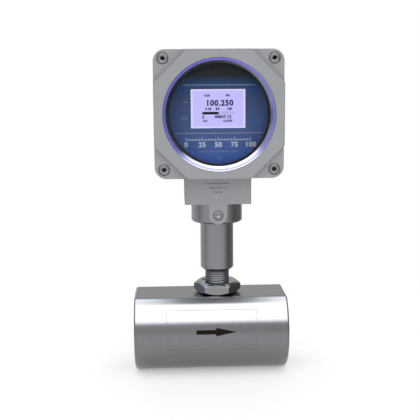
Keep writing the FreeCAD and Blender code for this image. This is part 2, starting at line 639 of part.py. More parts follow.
def make_housing():
    """Die-cast rear housing: shell with corner bosses, board posts and the cable entry."""
    shell = head_block((HEAD_SPLIT, HEAD_BACK), 0, HEAD_CORNER_R)
    back = [e for e in shell.Edges if abs(e.CenterOfMass.y - HEAD_BACK) < SAME]
    shell = shell.makeFillet(HEAD_BACK_EDGE, back)
    inner_r = HEAD_CORNER_R - HEAD_WALL
    shell = shell.cut(head_block((HEAD_SPLIT - PAST, BACK_INSIDE), HEAD_WALL, inner_r))
    housing = fuse([shell, entry_boss()] + cover_bosses() + board_posts() + preamp_posts())
    cuts = [neck_bore(), entry_bore(), seal_ring(0)]
    for x, z in corners(COVER_SCREW_PITCH_X, COVER_SCREW_PITCH_Z, WINDOW_Z):
        cuts.append(rod(COVER_SCREW_D + 2 * SEAT_GAP, V(x, HEAD_SPLIT, z), Y_DIR, BOSS_DRILL))
    thread_d = BOARD_SCREW_D + 2 * SEAT_GAP
    for x, z in corners(SPACER_PITCH_X, SPACER_PITCH_Z, BOARDS_Z):
        cuts.append(rod(thread_d, V(x, MAIN_BOARD_BACK, z), Y_DIR, BOARD_SCREW_LENGTH))
    for x in centred(STEM_X, PREAMP_POST_PITCH):
        cuts.append(rod(thread_d, V(x, 0, PREAMP_Z), -Z_DIR, BOARD_SCREW_LENGTH))
    for place in neck_screw_places():
        cuts.append(rod(NECK_SCREW_D + 2 * TRIM_GAP, place + V(0, 0, FLOOR_Z), -Z_DIR, HEAD_WALL))
    for cut in cuts:
        housing = housing.cut(cut)
    return housing


def make_neck():
    """Cast neck under the housing, with the round-ended tab at its front."""
    x = centred(STEM_X, NECK_WIDTH)
    y = centred(0, NECK_DEPTH)
    block = box(x, y, (NECK_Z, HEAD_Z))
    upright = [e for e in block.Edges if abs(e.tangentAt(e.FirstParameter).z) > 0.9]
    block = block.makeFillet(NECK_EDGE, upright)
    tab_depth = NECK_DEPTH / 2 - COLLAR_D / 4
    tab = box(centred(STEM_X, TAB_WIDTH), (y[0], y[0] + tab_depth), (TAB_SCREW_Z, NECK_Z + NECK_EDGE))
    tip = rod(TAB_WIDTH, V(STEM_X, y[0], TAB_SCREW_Z), Y_DIR, tab_depth)
    gussets = [tab_gusset(side, y[0], tab_depth) for side in (-1, 1)]
    neck = fuse([block, tab, tip] + gussets)
    cuts = [neck_bore(), tab_bore()] + neck_marks()
    for place in neck_screw_places():
        depth = NECK_SCREW_LENGTH - HEAD_WALL + SCREW_END_GAP
        cuts.append(rod(NECK_SCREW_D + 2 * SEAT_GAP, place + V(0, 0, HEAD_Z), -Z_DIR, depth))
    for cut in cuts:
        neck = neck.cut(cut)
    return neck


def neck_screw_places():
    """Centres of the screws that hold the neck from inside the housing."""
    places = []
    for x in centred(STEM_X, NECK_WIDTH - 2 * NECK_SCREW_INSET):
        for y in centred(0, NECK_DEPTH - 2 * NECK_SCREW_INSET):
            places.append(V(x, y, 0))
    return places


def make_neck_screws():
    screws = []
    for place in neck_screw_places():
        start = place + V(0, 0, FLOOR_Z)
        head = rod(NECK_SCREW_HEAD_D, start, Z_DIR, NECK_SCREW_HEAD_H)
        shank = rod(NECK_SCREW_D, start, -Z_DIR, NECK_SCREW_LENGTH)
        screws.append(fuse([head, shank]))
    return Part.makeCompound(screws)


def tab_gusset(side, y, depth):
    """Small fillet where the tab's side runs into the underside of the neck."""
    x = STEM_X + side * TAB_WIDTH / 2
    span = sorted((x, x + side * TAB_FILLET))
    block = box(span, (y, y + depth), (NECK_Z - TAB_FILLET, NECK_Z + TAB_FILLET))
    scoop = rod(2 * TAB_FILLET, V(x + side * TAB_FILLET, y, NECK_Z - TAB_FILLET), Y_DIR, depth)
    return block.cut(scoop)


def neck_bore():
    low = COLLAR_Z - PAST
    collar = rod(COLLAR_D + 2 * RUN_GAP, stem_point(low), Z_DIR, NECK_SHOULDER_Z - low)
    spigot = rod(SPIGOT_D + 2 * RUN_GAP, stem_point(COLLAR_Z), Z_DIR, FLOOR_Z + PAST - COLLAR_Z)
    return collar.fuse(spigot)


def tab_bore():
    front = V(STEM_X, -NECK_DEPTH / 2, TAB_SCREW_Z)
    sink = rod(TAB_SCREW_SINK_D, front, Y_DIR, TAB_SCREW_SINK)
    thread = rod(TAB_SCREW_D + 2 * SEAT_GAP, front, Y_DIR, NECK_DEPTH / 4)
    return sink.fuse(thread)


def neck_marks():
    """Three short grooves on the neck, each shorter than the one above."""
    marks = []
    y = (-NECK_DEPTH / 2 - PAST, -NECK_DEPTH / 2 + NECK_MARK_DEPTH)
    for i, width in enumerate(NECK_MARK_WIDTHS):
        z = HEAD_Z - NECK_MARK_DROP - i * NECK_MARK_PITCH
        marks.append(box(centred(STEM_X, width), y, centred(z, NECK_MARK_HEIGHT)))
    return marks


def cover_bosses():
    """Corner bosses that take the cover screws, cut to the outline of the head."""
    outline = head_block((HEAD_SPLIT, HEAD_BACK), HEAD_WALL / 2, HEAD_CORNER_R - HEAD_WALL / 2)
    bosses = []
    for x, z in corners(COVER_SCREW_PITCH_X, COVER_SCREW_PITCH_Z, WINDOW_Z):
        start = V(x, HEAD_SPLIT, z)
        bosses.append(rod(BOSS_D, start, Y_DIR, BOSS_LENGTH).common(outline))
    return bosses


def board_posts():
    posts = []
    for x, z in corners(SPACER_PITCH_X, SPACER_PITCH_Z, BOARDS_Z):
        start = V(x, MAIN_BOARD_BACK, z)
        posts.append(rod(POST_D, start, Y_DIR, BACK_INSIDE - MAIN_BOARD_BACK + PAST))
    return posts


def preamp_posts():
    posts = []
    for x in centred(STEM_X, PREAMP_POST_PITCH):
        posts.append(rod(POST_D, V(x, 0, FLOOR_Z - PAST), Z_DIR, PREAMP_Z - FLOOR_Z + PAST))
    return posts


def entry_boss():
    start = V(STEM_X, BACK_INSIDE, WINDOW_Z)
    length = HEAD_BACK_WALL + ENTRY_BOSS_RAISE
    boss = rod(ENTRY_D + 2 * ENTRY_BOSS_WALL, start, Y_DIR, length)
    rim = [e for e in boss.Edges if abs(e.CenterOfMass.y - HEAD_BACK - ENTRY_BOSS_RAISE) < SAME]
    return boss.makeChamfer(ENTRY_BOSS_EDGE, rim)


def entry_bore():
    length = HEAD_BACK_WALL + ENTRY_BOSS_RAISE
    bore = rod(ENTRY_D, V(STEM_X, BACK_INSIDE - PAST, WINDOW_Z), Y_DIR, length + 2 * PAST)
    mouth_start = V(STEM_X, HEAD_BACK + ENTRY_BOSS_RAISE - ENTRY_MOUTH, WINDOW_Z)
    mouth = cone(ENTRY_D, ENTRY_D + 2 * ENTRY_MOUTH, mouth_start, Y_DIR, ENTRY_MOUTH)
    return bore.fuse(mouth)


def seal_ring(shrink):
    """Ring along the housing's rim: the groove with no shrink, the seal with a little."""
    y = (HEAD_SPLIT, HEAD_SPLIT + SEAL_DEPTH)
    outer_inset = SEAL_INSET + shrink
    inner_inset = SEAL_INSET + SEAL_WIDTH - shrink
    outer = head_block(y, outer_inset, HEAD_CORNER_R - outer_inset)
    return outer.cut(head_block(y, inner_inset, HEAD_CORNER_R - inner_inset))


def make_cover_seal():
    return seal_ring(SEAT_GAP)


def make_tab_screw():
    """Locking screw in the tab: its point bears on the collar."""
    sink_y = -NECK_DEPTH / 2 + TAB_SCREW_SINK
    head = rod(TAB_SCREW_HEAD_D, V(STEM_X, sink_y, TAB_SCREW_Z), -Y_DIR, TAB_SCREW_HEAD_H)
    point_y = -COLLAR_D / 2 - RUN_GAP
    shank = rod(TAB_SCREW_D, V(STEM_X, sink_y, TAB_SCREW_Z), Y_DIR, point_y - sink_y)
    return fuse([head, shank])


# ---------------------------------------------------------------- cover and window
def octagon_block(y_front, y_back):
    """The head's outline with its four corners cut off at 45 degrees."""
    left, right = centred(STEM_X, HEAD_WIDTH)
    low, high = HEAD_Z, HEAD_TOP_Z
    c = OCTAGON_CUT
    outline = [(left + c, low), (right - c, low), (right, low + c), (right, high - c)]
    outline += [(right - c, high), (left + c, high), (left, high - c), (left, low + c)]
    points = [V(x, y_front, z) for x, z in outline]
    block = prism(points, Y_DIR * (y_back - y_front))
    rim = [e for e in block.Edges if abs(e.CenterOfMass.y - y_front) < SAME]
    return block.makeChamfer(OCTAGON_EDGE, rim)


def make_front_cover():
    """Die-cast cover: corner plates, raised octagon and the stepped seat of the window."""
    flange = head_block((COVER_FLANGE, HEAD_SPLIT), 0, HEAD_CORNER_R)
    cover = fuse([flange, octagon_block(HEAD_FRONT, COVER_FLANGE + PAST)])
    centre = V(STEM_X, HEAD_FRONT, WINDOW_Z)
    cover = cover.cut(rod(BEZEL_OUTER_D + 2 * SEAT_GAP, centre, Y_DIR, BEZEL_DEPTH))
    cover = cover.cut(rod(BEZEL_INNER_D, centre, Y_DIR, HEAD_SPLIT - HEAD_FRONT))
    lip = V(STEM_X, LIP_BACK, WINDOW_Z)
    cover = cover.cut(rod(WINDOW_D + 2 * TRIM_GAP, lip, Y_DIR, HEAD_SPLIT - LIP_BACK))
    ring_seat = V(STEM_X, GLASS_BACK, WINDOW_Z)
    cover = cover.cut(rod(CLAMP_RING_D + 2 * SEAT_GAP, ring_seat, Y_DIR, HEAD_SPLIT - GLASS_BACK))
    for x, z in corners(COVER_SCREW_PITCH_X, COVER_SCREW_PITCH_Z, WINDOW_Z):
        hole = rod(COVER_SCREW_D + 2 * TRIM_GAP, V(x, HEAD_FRONT, z), Y_DIR, HEAD_SPLIT - HEAD_FRONT)
        sink = rod(COVER_SINK_D, V(x, COVER_FLANGE, z), Y_DIR, COVER_SINK)
        mouth_d = COVER_SINK_D + 2 * COVER_SINK_EDGE
        mouth = cone(mouth_d, COVER_SINK_D, V(x, COVER_FLANGE, z), Y_DIR, COVER_SINK_EDGE)
        cover = cover.cut(hole).cut(sink).cut(mouth)
    return cover


def make_cover_screws():
    """Cheese-head screws sunk in the corner plates."""
    screws = []
    for x, z in corners(COVER_SCREW_PITCH_X, COVER_SCREW_PITCH_Z, WINDOW_Z):
        seat_y = COVER_FLANGE + COVER_SINK
        head = rod(COVER_SCREW_HEAD_D, V(x, seat_y, z), -Y_DIR, COVER_SCREW_HEAD_H)
        length = HEAD_SPLIT + COVER_SCREW_REACH - seat_y
        shank = rod(COVER_SCREW_D, V(x, seat_y, z), Y_DIR, length)
        screws.append(fuse([head, shank]))
    return Part.makeCompound(screws)


def window_ring(outline):
    """Turn an outline of (radius, depth below the face) about the window's axis."""
    points = [V(STEM_X + r, HEAD_FRONT + depth, WINDOW_Z) for r, depth in outline]
    return revolve(points, V(STEM_X, 0, WINDOW_Z), Y_DIR)


def cone_depth(radius):
    """Depth below the face at which the bezel's cone has a radius."""
    return BEZEL_DEPTH * (CONE_TOP_R - radius) / (CONE_TOP_R - BEZEL_INNER_D / 2)


def accent_outline():
    """Section of the coloured line, let into the bezel's cone."""
    high = CONE_TOP_R - ACCENT_INSET
    low = high - ACCENT_WIDTH
    floor = cone_depth(low) + ACCENT_DEPTH
    return [(high, cone_depth(high)), (low, cone_depth(low)), (low, floor), (high, floor)]


def make_bezel_ring():
    """Polished ring whose inside is a cone that narrows towards the window."""
    outer = BEZEL_OUTER_D / 2
    outline = [(CONE_TOP_R, 0), (outer, 0), (outer, BEZEL_DEPTH), (BEZEL_INNER_D / 2, BEZEL_DEPTH)]
    return window_ring(outline).cut(window_ring(accent_outline()))


def make_accent_ring():
    return window_ring(accent_outline())


def make_window_gasket():
    """Black gasket: flat ring in front of the glass with a sleeve that lines the lip up to the bezel."""
    flange = tube(WINDOW_D, VIEW_D, V(STEM_X, LIP_BACK, WINDOW_Z), Y_DIR, GASKET_THICK)
    sleeve_d = BEZEL_INNER_D - 2 * SEAT_GAP
    sleeve = tube(sleeve_d, VIEW_D, V(STEM_X, LIP_FRONT, WINDOW_Z), Y_DIR, GLASS_FRONT - LIP_FRONT)
    return fuse([flange, sleeve])


def make_window_glass():
    return rod(WINDOW_D, V(STEM_X, GLASS_FRONT, WINDOW_Z), Y_DIR, WINDOW_THICK)


def make_clamp_ring():
    """Threaded ring behind the glass, with two slots for a pin spanner."""
    start = V(STEM_X, GLASS_BACK, WINDOW_Z)
    ring = tube(CLAMP_RING_D, CLAMP_RING_INNER_D, start, Y_DIR, CLAMP_RING_THICK)
    back = GLASS_BACK + CLAMP_RING_THICK
    slot_y = (back - CLAMP_SLOT_DEPTH, back)
    slot_x = centred(STEM_X, 2 * CLAMP_RING_D)
    return ring.cut(box(slot_x, slot_y, centred(WINDOW_Z, CLAMP_SLOT_WIDTH)))


# ---------------------------------------------------------------- electronics
def make_dial_plate():
    """Round front plate with the opening for the screen."""
    plate = rod(DIAL_D, V(STEM_X, DIAL_FRONT, WINDOW_Z), Y_DIR, DIAL_THICK)
    x = centred(STEM_X, LCD_VIEW_WIDTH)
    z = centred(LCD_Z, LCD_VIEW_HEIGHT)
    return plate.cut(box(x, (DIAL_FRONT - PAST, LCD_FRONT + PAST), z))


def lcd_box(y):
    x = centred(STEM_X, LCD_VIEW_WIDTH + 2 * LCD_BORDER)
    return box(x, y, centred(LCD_Z, LCD_VIEW_HEIGHT + 2 * LCD_BORDER))


def make_lcd_panel():
    """Liquid-crystal panel: its front glass stands up into the dial's opening."""
    y = (LCD_FRONT, BACKLIGHT_FRONT)
    panel = lcd_box(y)
    view_x = centred(STEM_X, LCD_VIEW_WIDTH - 2 * TRIM_GAP)
    view_z = centred(LCD_Z, LCD_VIEW_HEIGHT - 2 * TRIM_GAP)
    view = box(view_x, (LCD_FRONT - LCD_GLASS_RISE, BACKLIGHT_FRONT), view_z)
    return fuse([panel, view])


def make_backlight():
    return lcd_box((BACKLIGHT_FRONT, DISPLAY_BOARD_FRONT))


def board(width, height, y):
    """Circuit board with a hole for each spacer."""
    plate = box(centred(STEM_X, width), y, centred(BOARDS_Z, height))
    for x, z in corners(SPACER_PITCH_X, SPACER_PITCH_Z, BOARDS_Z):
        plate = plate.cut(rod(BOARD_SCREW_D + 2 * TRIM_GAP, V(x, y[0], z), Y_DIR, BOARD_THICK))
    return plate


def make_display_board():
    width = SPACER_PITCH_X + 2 * DISPLAY_BOARD_EDGE
    height = SPACER_PITCH_Z + 2 * DISPLAY_BOARD_EDGE
    return board(width, height, (DISPLAY_BOARD_FRONT, DISPLAY_BOARD_BACK))


def make_dial_posts():
    """Posts that carry the dial plate on the display board."""
    posts = []
    for x, z in corners(DIAL_D - 2 * DIAL_POST_INSET, DIAL_POST_PITCH_Z, WINDOW_Z):
        posts.append(rod(DIAL_POST_D, V(x, LCD_FRONT, z), Y_DIR, DISPLAY_BOARD_FRONT - LCD_FRONT))
    return Part.makeCompound(posts)


def make_display_screws():
    """Pan-head screws that hold the display board on its spacers."""
    screws = []
    for x, z in corners(SPACER_PITCH_X, SPACER_PITCH_Z, BOARDS_Z):
        start = V(x, DISPLAY_BOARD_FRONT, z)
        head = rod(BOARD_SCREW_HEAD_D, start, -Y_DIR, BOARD_SCREW_HEAD_H)
        shank = rod(BOARD_SCREW_D, start, Y_DIR, BOARD_SCREW_LENGTH)
        screws.append(fuse([head, shank]))
    return Part.makeCompound(screws)


def make_board_spacers():
    """Hexagonal spacers between the two boards, each with a stud into its post."""
    spacers = []
    for x, z in corners(SPACER_PITCH_X, SPACER_PITCH_Z, BOARDS_Z):
        start = V(x, DISPLAY_BOARD_BACK, z)
        length = MAIN_BOARD_FRONT - DISPLAY_BOARD_BACK
        body = hexagon(SPACER_AF, start, Y_DIR * length)
        stud_start = V(x, MAIN_BOARD_FRONT, z)
        stud = rod(BOARD_SCREW_D, stud_start, Y_DIR, BOARD_THICK + BOARD_SCREW_LENGTH - SCREW_END_GAP)
        thread = rod(BOARD_SCREW_D + 2 * SEAT_GAP, start, Y_DIR, BOARD_SCREW_LENGTH)
        spacers.append(fuse([body, stud]).cut(thread))
    return Part.makeCompound(spacers)


def make_main_board():
    return board(MAIN_BOARD_WIDTH, MAIN_BOARD_HEIGHT, (MAIN_BOARD_FRONT, MAIN_BOARD_BACK))


def make_processor_chip():
    y = (MAIN_BOARD_FRONT - CHIP_THICK, MAIN_BOARD_FRONT)
    return box(centred(STEM_X, CHIP_SIDE), y, centred(BOARDS_Z, CHIP_SIDE))


def make_capacitors():
    """Two electrolytic capacitors standing on the main board."""
    cans = []
    for x in centred(STEM_X, CAPACITOR_PITCH):
        start = V(x, MAIN_BOARD_FRONT, BOARDS_Z - CAPACITOR_DROP)
        cans.append(rod(CAPACITOR_D, start, -Y_DIR, CAPACITOR_LENGTH))
    return Part.makeCompound(cans)


def make_terminal_block():
    """Row of clamp terminals on the back of the main board, facing the cable entry."""
    y = (MAIN_BOARD_BACK, MAIN_BOARD_BACK + TERMINAL_DEPTH)
    z = centred(BOARDS_Z - TERMINAL_DROP, TERMINAL_HEIGHT)
    block = box(centred(STEM_X, TERMINAL_WIDTH), y, z)
    pitch = TERMINAL_WIDTH / TERMINAL_WAYS
    slot_y = (y[1] - TERMINAL_SLOT, y[1])
    for i in range(TERMINAL_WAYS):
        x = STEM_X - TERMINAL_WIDTH / 2 + pitch * (i + 0.5)
        slot_x = centred(x, TERMINAL_SLOT)
        low = z[0] + TERMINAL_SLOT_INSET
        high = z[1] - TERMINAL_SLOT_INSET
        block = block.cut(box(slot_x, slot_y, (low, low + TERMINAL_SLOT)))
        block = block.cut(box(slot_x, slot_y, (high - TERMINAL_SLOT, high)))
    return block


def make_ribbon_cable():
    """Flat cable between the two boards."""
    z = centred(BOARDS_Z + RIBBON_RAISE, RIBBON_THICK)
    return box(centred(STEM_X, RIBBON_WIDTH), (DISPLAY_BOARD_BACK, MAIN_BOARD_FRONT), z)


def make_preamp_board():
    """Preamplifier board on two posts over the stem."""
    x = centred(STEM_X, PREAMP_POST_PITCH + 2 * PREAMP_END)
    plate = box(x, centred(0, PREAMP_DEPTH), (PREAMP_Z, PREAMP_Z + BOARD_THICK))
    for px in centred(STEM_X, PREAMP_POST_PITCH):
        plate = plate.cut(rod(BOARD_SCREW_D + 2 * TRIM_GAP, V(px, 0, PREAMP_Z), Z_DIR, BOARD_THICK))
    return plate


def make_preamp_screws():
    screws = []
    for x in centred(STEM_X, PREAMP_POST_PITCH):
        start = V(x, 0, PREAMP_Z + BOARD_THICK)
        head = rod(BOARD_SCREW_HEAD_D, start, Z_DIR, BOARD_SCREW_HEAD_H)
        shank = rod(BOARD_SCREW_D, start, -Z_DIR, BOARD_SCREW_LENGTH)
        screws.append(fuse([head, shank]))
    return Part.makeCompound(screws)


def make_pickup_socket():
    """Round socket under the preamplifier board, where the pickup's cable plugs in."""
    return rod(SOCKET_D, stem_point(PREAMP_Z - SOCKET_HEIGHT), Z_DIR, SOCKET_HEIGHT)


# ---------------------------------------------------------------- output
NODES = {
    "body": make_body,
    "snap_rings": make_snap_rings,
    "inlet_guide": lambda: make_guide(-1),
    "outlet_guide": lambda: make_guide(1),
    "inlet_bush": lambda: make_bush(-1),
    "outlet_bush": lambda: make_bush(1),
    "rotor": make_rotor,
    "rotor_shaft": make_rotor_shaft,
    "pickup_barrel": make_pickup_barrel,
    "pole_piece": make_pole_piece,
    "coil_bobbin": make_coil_bobbin,
    "coil_winding": make_coil_winding,
    "magnet": make_magnet,
    "potting_plug": make_potting_plug,
    "signal_cable": make_signal_cable,
    "lock_nut": make_lock_nut,
    "stem": make_stem,
    "stem_clip": make_stem_clip,
    "neck_seal": make_neck_seal,
    "housing": make_housing,
    "neck": make_neck,
    "neck_screws": make_neck_screws,
    "tab_screw": make_tab_screw,
    "cover_seal": make_cover_seal,
    "front_cover": make_front_cover,
    "cover_screws": make_cover_screws,
    "bezel_ring": make_bezel_ring,
    "accent_ring": make_accent_ring,
    "window_gasket": make_window_gasket,
    "window_glass": make_window_glass,
    "clamp_ring": make_clamp_ring,
    "dial_plate": make_dial_plate,
    "lcd_panel": make_lcd_panel,
    "backlight": make_backlight,
    "display_board": make_display_board,
    "dial_posts": make_dial_posts,
    "display_screws": make_display_screws,
    "board_spacers": make_board_spacers,
    "main_board": make_main_board,
    "processor_chip": make_processor_chip,
    "capacitors": make_capacitors,
    "terminal_block": make_terminal_block,
    "ribbon_cable": make_ribbon_cable,
    "preamp_board": make_preamp_board,
    "preamp_screws": make_preamp_screws,
    "pickup_socket": make_pickup_socket,
}

os.makedirs("parts", exist_ok=True)
for node, make in NODES.items():
    shape = make()
    shape.exportStep("parts/" + node + ".step")
    print(node, len(shape.Solids), round(shape.Volume, 1), shape.isValid())
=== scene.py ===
"""Looks of the turbine flow meter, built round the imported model. Sizes are in metres."""

import json
import math

import bmesh
import bpy
from mathutils import Matrix, Vector


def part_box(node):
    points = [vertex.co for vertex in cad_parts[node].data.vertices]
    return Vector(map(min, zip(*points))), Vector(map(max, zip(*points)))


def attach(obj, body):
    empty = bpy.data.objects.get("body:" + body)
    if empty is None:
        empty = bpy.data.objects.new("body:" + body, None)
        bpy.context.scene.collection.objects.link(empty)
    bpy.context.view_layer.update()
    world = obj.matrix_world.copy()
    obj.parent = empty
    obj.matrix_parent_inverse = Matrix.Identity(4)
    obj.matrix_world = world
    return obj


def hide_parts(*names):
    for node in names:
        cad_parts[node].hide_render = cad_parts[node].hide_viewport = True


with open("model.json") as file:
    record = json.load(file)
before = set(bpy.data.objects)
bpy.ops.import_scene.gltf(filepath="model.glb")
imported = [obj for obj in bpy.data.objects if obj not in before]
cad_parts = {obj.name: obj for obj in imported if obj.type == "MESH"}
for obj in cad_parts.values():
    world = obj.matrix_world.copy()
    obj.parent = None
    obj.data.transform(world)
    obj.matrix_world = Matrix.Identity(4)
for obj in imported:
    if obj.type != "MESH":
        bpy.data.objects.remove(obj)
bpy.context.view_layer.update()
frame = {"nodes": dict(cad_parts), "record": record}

MM = 0.001


# ---------------------------------------------------------------- places taken from the frame
def middle(node):
    """Centre of a node's box."""
    low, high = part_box(node)
    return (Vector(low) + Vector(high)) / 2


def half_size(node):
    low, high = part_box(node)
    return (Vector(high) - Vector(low)) / 2


def mount(name):
    return next(m for m in frame["record"]["mounts"] if m["name"] == name)


BORE = middle("rotor_shaft")                      # bore axis
BODY_R = half_size("body").y
WINDOW = middle("window_glass")                   # centre of the window
STEM_X = WINDOW.x
DIAL_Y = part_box("dial_plate")[0][1]               # front of the dial
LCD_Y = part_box("lcd_panel")[0][1]                 # front of the screen
NUT_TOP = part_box("lock_nut")[1][2]                # the barrel shows from here
STEM_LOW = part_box("stem")[0][2]                   # up to here

# lettering and marks stand this far in front of what carries them
PRINT_GAP = 0.03 * MM
PRINT_THICK = 0.03 * MM
SHARP_ANGLE = math.radians(35)                    # steeper edges than this stay sharp


# ---------------------------------------------------------------- mesh helpers
def add_piece(name, mesh, body, material, replaces=(), smooth=True):
    """Puts a mesh in the scene as a piece of the object."""
    piece = bpy.data.objects.new(name, mesh)
    bpy.context.scene.collection.objects.link(piece)
    mesh.materials.clear()
    mesh.materials.append(material)
    if smooth:
        mesh.shade_smooth()
        mesh.set_sharp_from_angle(angle=SHARP_ANGLE)
    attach(piece, body)
    if replaces:
        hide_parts(*replaces)
    return piece


def mesh_from(name, points, faces):
    mesh = bpy.data.meshes.new(name)
    mesh.from_pydata([tuple(p) for p in points], [], faces)
    bm = bmesh.new()
    bm.from_mesh(mesh)
    bmesh.ops.recalc_face_normals(bm, faces=bm.faces)
    bm.to_mesh(mesh)
    bm.free()
    return mesh


def joined(name, meshes):
    """One mesh out of several."""
    bm = bmesh.new()
    for mesh in meshes:
        bm.from_mesh(mesh)
    result = bpy.data.meshes.new(name)
    bm.to_mesh(result)
    bm.free()
    for mesh in meshes:
        bpy.data.meshes.remove(mesh)
    return result


def swept_rings(name, rings, closed=False, caps=True):
    """Skin over rings of points that all have the same count. If closed, the last ring joins the first."""
    count = len(rings[0])
    points = [p for ring in rings for p in ring]
    faces = []
    last = len(rings) if closed else len(rings) - 1
    for i in range(last):
        low = i * count
        high = (i + 1) % len(rings) * count
        for j in range(count):
            k = (j + 1) % count
            faces.append((low + j, low + k, high + k, high + j))
    if caps and not closed:
        faces.append(tuple(range(count)))
        faces.append(tuple(range((len(rings) - 1) * count, len(rings) * count)))
    return mesh_from(name, points, faces)


def ring_points(radius, height, axes, origin, segments):
    """Circle round the third axis, at a height along it."""
    u, v, w = axes
    ring = []
    for i in range(segments):
        a = 2 * math.pi * i / segments
        ring.append(origin + w * height + (u * math.cos(a) + v * math.sin(a)) * radius)
    return ring


X_AXES = (Vector((0, 1, 0)), Vector((0, 0, 1)), Vector((1, 0, 0)))
Y_AXES = (Vector((1, 0, 0)), Vector((0, 0, -1)), Vector((0, 1, 0)))
Z_AXES = (Vector((1, 0, 0)), Vector((0, 1, 0)), Vector((0, 0, 1)))


ROOT_FLAT = 0.2     # as a share of the pitch
BOTH_FLANKS = 0.6   # the crest's flat has the rest


def thread_depth(along, pitch, height):
    """Height of a thread with flattened crest and root at a place along its pitch."""
    phase = (along / pitch) % 1.0
    slope = abs(2 * phase - 1)
    return height * min(1.0, max(0.0, (slope - ROOT_FLAT) / BOTH_FLANKS))


# ---------------------------------------------------------------- material helpers
def new_material(name):
    material = bpy.data.materials.new(name)
    material.use_nodes = True
    tree = material.node_tree
    return material, tree, tree.nodes["Principled BSDF"]


def object_coordinates(tree, scale=(1, 1, 1)):
    """Object coordinates in millimetres, stretched by a scale."""
    place = tree.nodes.new("ShaderNodeTexCoord")
    mapping = tree.nodes.new("ShaderNodeMapping")
    mapping.inputs["Scale"].default_value = [s / MM for s in scale]
    tree.links.new(place.outputs["Object"], mapping.inputs["Vector"])
    return mapping.outputs["Vector"]


def object_axes(tree):
    """Object coordinates in metres, as the outputs X, Y and Z."""
    place = tree.nodes.new("ShaderNodeTexCoord")
    split = tree.nodes.new("ShaderNodeSeparateXYZ")
    tree.links.new(place.outputs["Object"], split.inputs["Vector"])
    return split.outputs


def noise(tree, scale, stretch=(1, 1, 1), detail=4.0):
    node = tree.nodes.new("ShaderNodeTexNoise")
    node.inputs["Scale"].default_value = scale
    node.inputs["Detail"].default_value = detail
    tree.links.new(object_coordinates(tree, stretch), node.inputs["Vector"])
    return node.outputs["Fac"]


def ramp(tree, source, stops):
    """Colour ramp from (position, colour) stops."""
    node = tree.nodes.new("ShaderNodeValToRGB")
    elements = node.color_ramp.elements
    while len(elements) < len(stops):
        elements.new(0.5)
    for element, (position, colour) in zip(elements, stops):
        element.position = position
        element.color = (*colour, 1)
    tree.links.new(source, node.inputs["Fac"])
    return node.outputs["Color"]


def map_range(tree, source, low, high, to_low, to_high):
    node = tree.nodes.new("ShaderNodeMapRange")
    node.inputs["From Min"].default_value = low
    node.inputs["From Max"].default_value = high
    node.inputs["To Min"].default_value = to_low
    node.inputs["To Max"].default_value = to_high
    tree.links.new(source, node.inputs["Value"])
    return node.outputs["Result"]


def math_node(tree, operation, *values):
    node = tree.nodes.new("ShaderNodeMath")
    node.operation = operation
    for socket, value in zip(node.inputs, values):
        if isinstance(value, (int, float)):
            socket.default_value = value
        else:
            tree.links.new(value, socket)
    return node.outputs["Value"]


def smooth_step(tree, source, low, high):
    """0 below low, 1 above high, with a soft change between."""
    result = map_range(tree, source, low, high, 0, 1)
    result.node.interpolation_type = "SMOOTHSTEP"
    return result


def mixed(tree, factor, first, second):
    """Colour between first and second, each a colour or a socket."""
    node = tree.nodes.new("ShaderNodeMix")
    node.data_type = "RGBA"
    tree.links.new(factor, node.inputs["Factor"])
    for name, value in (("A", first), ("B", second)):
        if isinstance(value, tuple):
            node.inputs[name].default_value = (*value, 1)
        else:
            tree.links.new(value, node.inputs[name])
    return node.outputs["Result"]


def bump(tree, source, strength, distance, normal=None):
    node = tree.nodes.new("ShaderNodeBump")
    node.inputs["Strength"].default_value = strength
    node.inputs["Distance"].default_value = distance
    tree.links.new(source, node.inputs["Height"])
    if normal is not None:
        tree.links.new(normal, node.inputs["Normal"])
    return node.outputs["Normal"]


def rounded_edges(tree, radius):
    node = tree.nodes.new("ShaderNodeBevel")
    node.samples = 4
    node.inputs["Radius"].default_value = radius
    return node.outputs["Normal"]


def shade(colour, factor):
    return tuple(min(1.0, c * factor) for c in colour)


def textured(name, colour, roughness, metallic=0.0, scale=0.6, spread=0.08, gloss=0.12, relief=0.1,
             depth=0.05, stretch=(1, 1, 1), edge=0.0, specular=0.5):
    """Surface with mottled colour, uneven gloss and a fine relief.

    spread and gloss are the shares by which colour and roughness vary. depth, the relief's, is in
    millimetres, and edge is the radius of the softened edges in metres.
    """
    material, tree, shader = new_material(name)
    grain = noise(tree, scale, stretch)
    stops = [(0.3, shade(colour, 1 - spread)), (0.7, shade(colour, 1 + spread))]
    tree.links.new(ramp(tree, grain, stops), shader.inputs["Base Color"])
    unevenness = map_range(tree, grain, 0.3, 0.7, roughness * (1 - gloss), roughness * (1 + gloss))
    tree.links.new(unevenness, shader.inputs["Roughness"])
    shader.inputs["Metallic"].default_value = metallic
    shader.inputs["Specular IOR Level"].default_value = specular
    base = rounded_edges(tree, edge) if edge else None
    normal = bump(tree, noise(tree, scale * 4, stretch), relief, depth * MM, base)
    tree.links.new(normal, shader.inputs["Normal"])
    return material


# ---------------------------------------------------------------- materials
ACROSS_X = (1, 0.03, 0.03)  # turning marks round the X axis
ROUND_Z = (0.03, 0.03, 1)   # turning marks round the Z axis


def body_material():
    """Turned and polished bar: highlights stretched by its turning marks, and faint rings in its colour."""
    material = textured("turned_steel", (0.208, 0.211, 0.215), 0.25, metallic=1.0, scale=0.4,
                        spread=0.02, gloss=0.01, relief=0.0, stretch=ACROSS_X, edge=0.35 * MM)
    tree = material.node_tree
    shader = tree.nodes["Principled BSDF"]
    shader.inputs["Anisotropic"].default_value = 0.92
    shader.inputs["Anisotropic Rotation"].default_value = 0.25
    round_bore = tree.nodes.new("ShaderNodeTangent")
    round_bore.direction_type = "RADIAL"
    round_bore.axis = "X"
    tree.links.new(round_bore.outputs["Tangent"], shader.inputs["Tangent"])
    return material


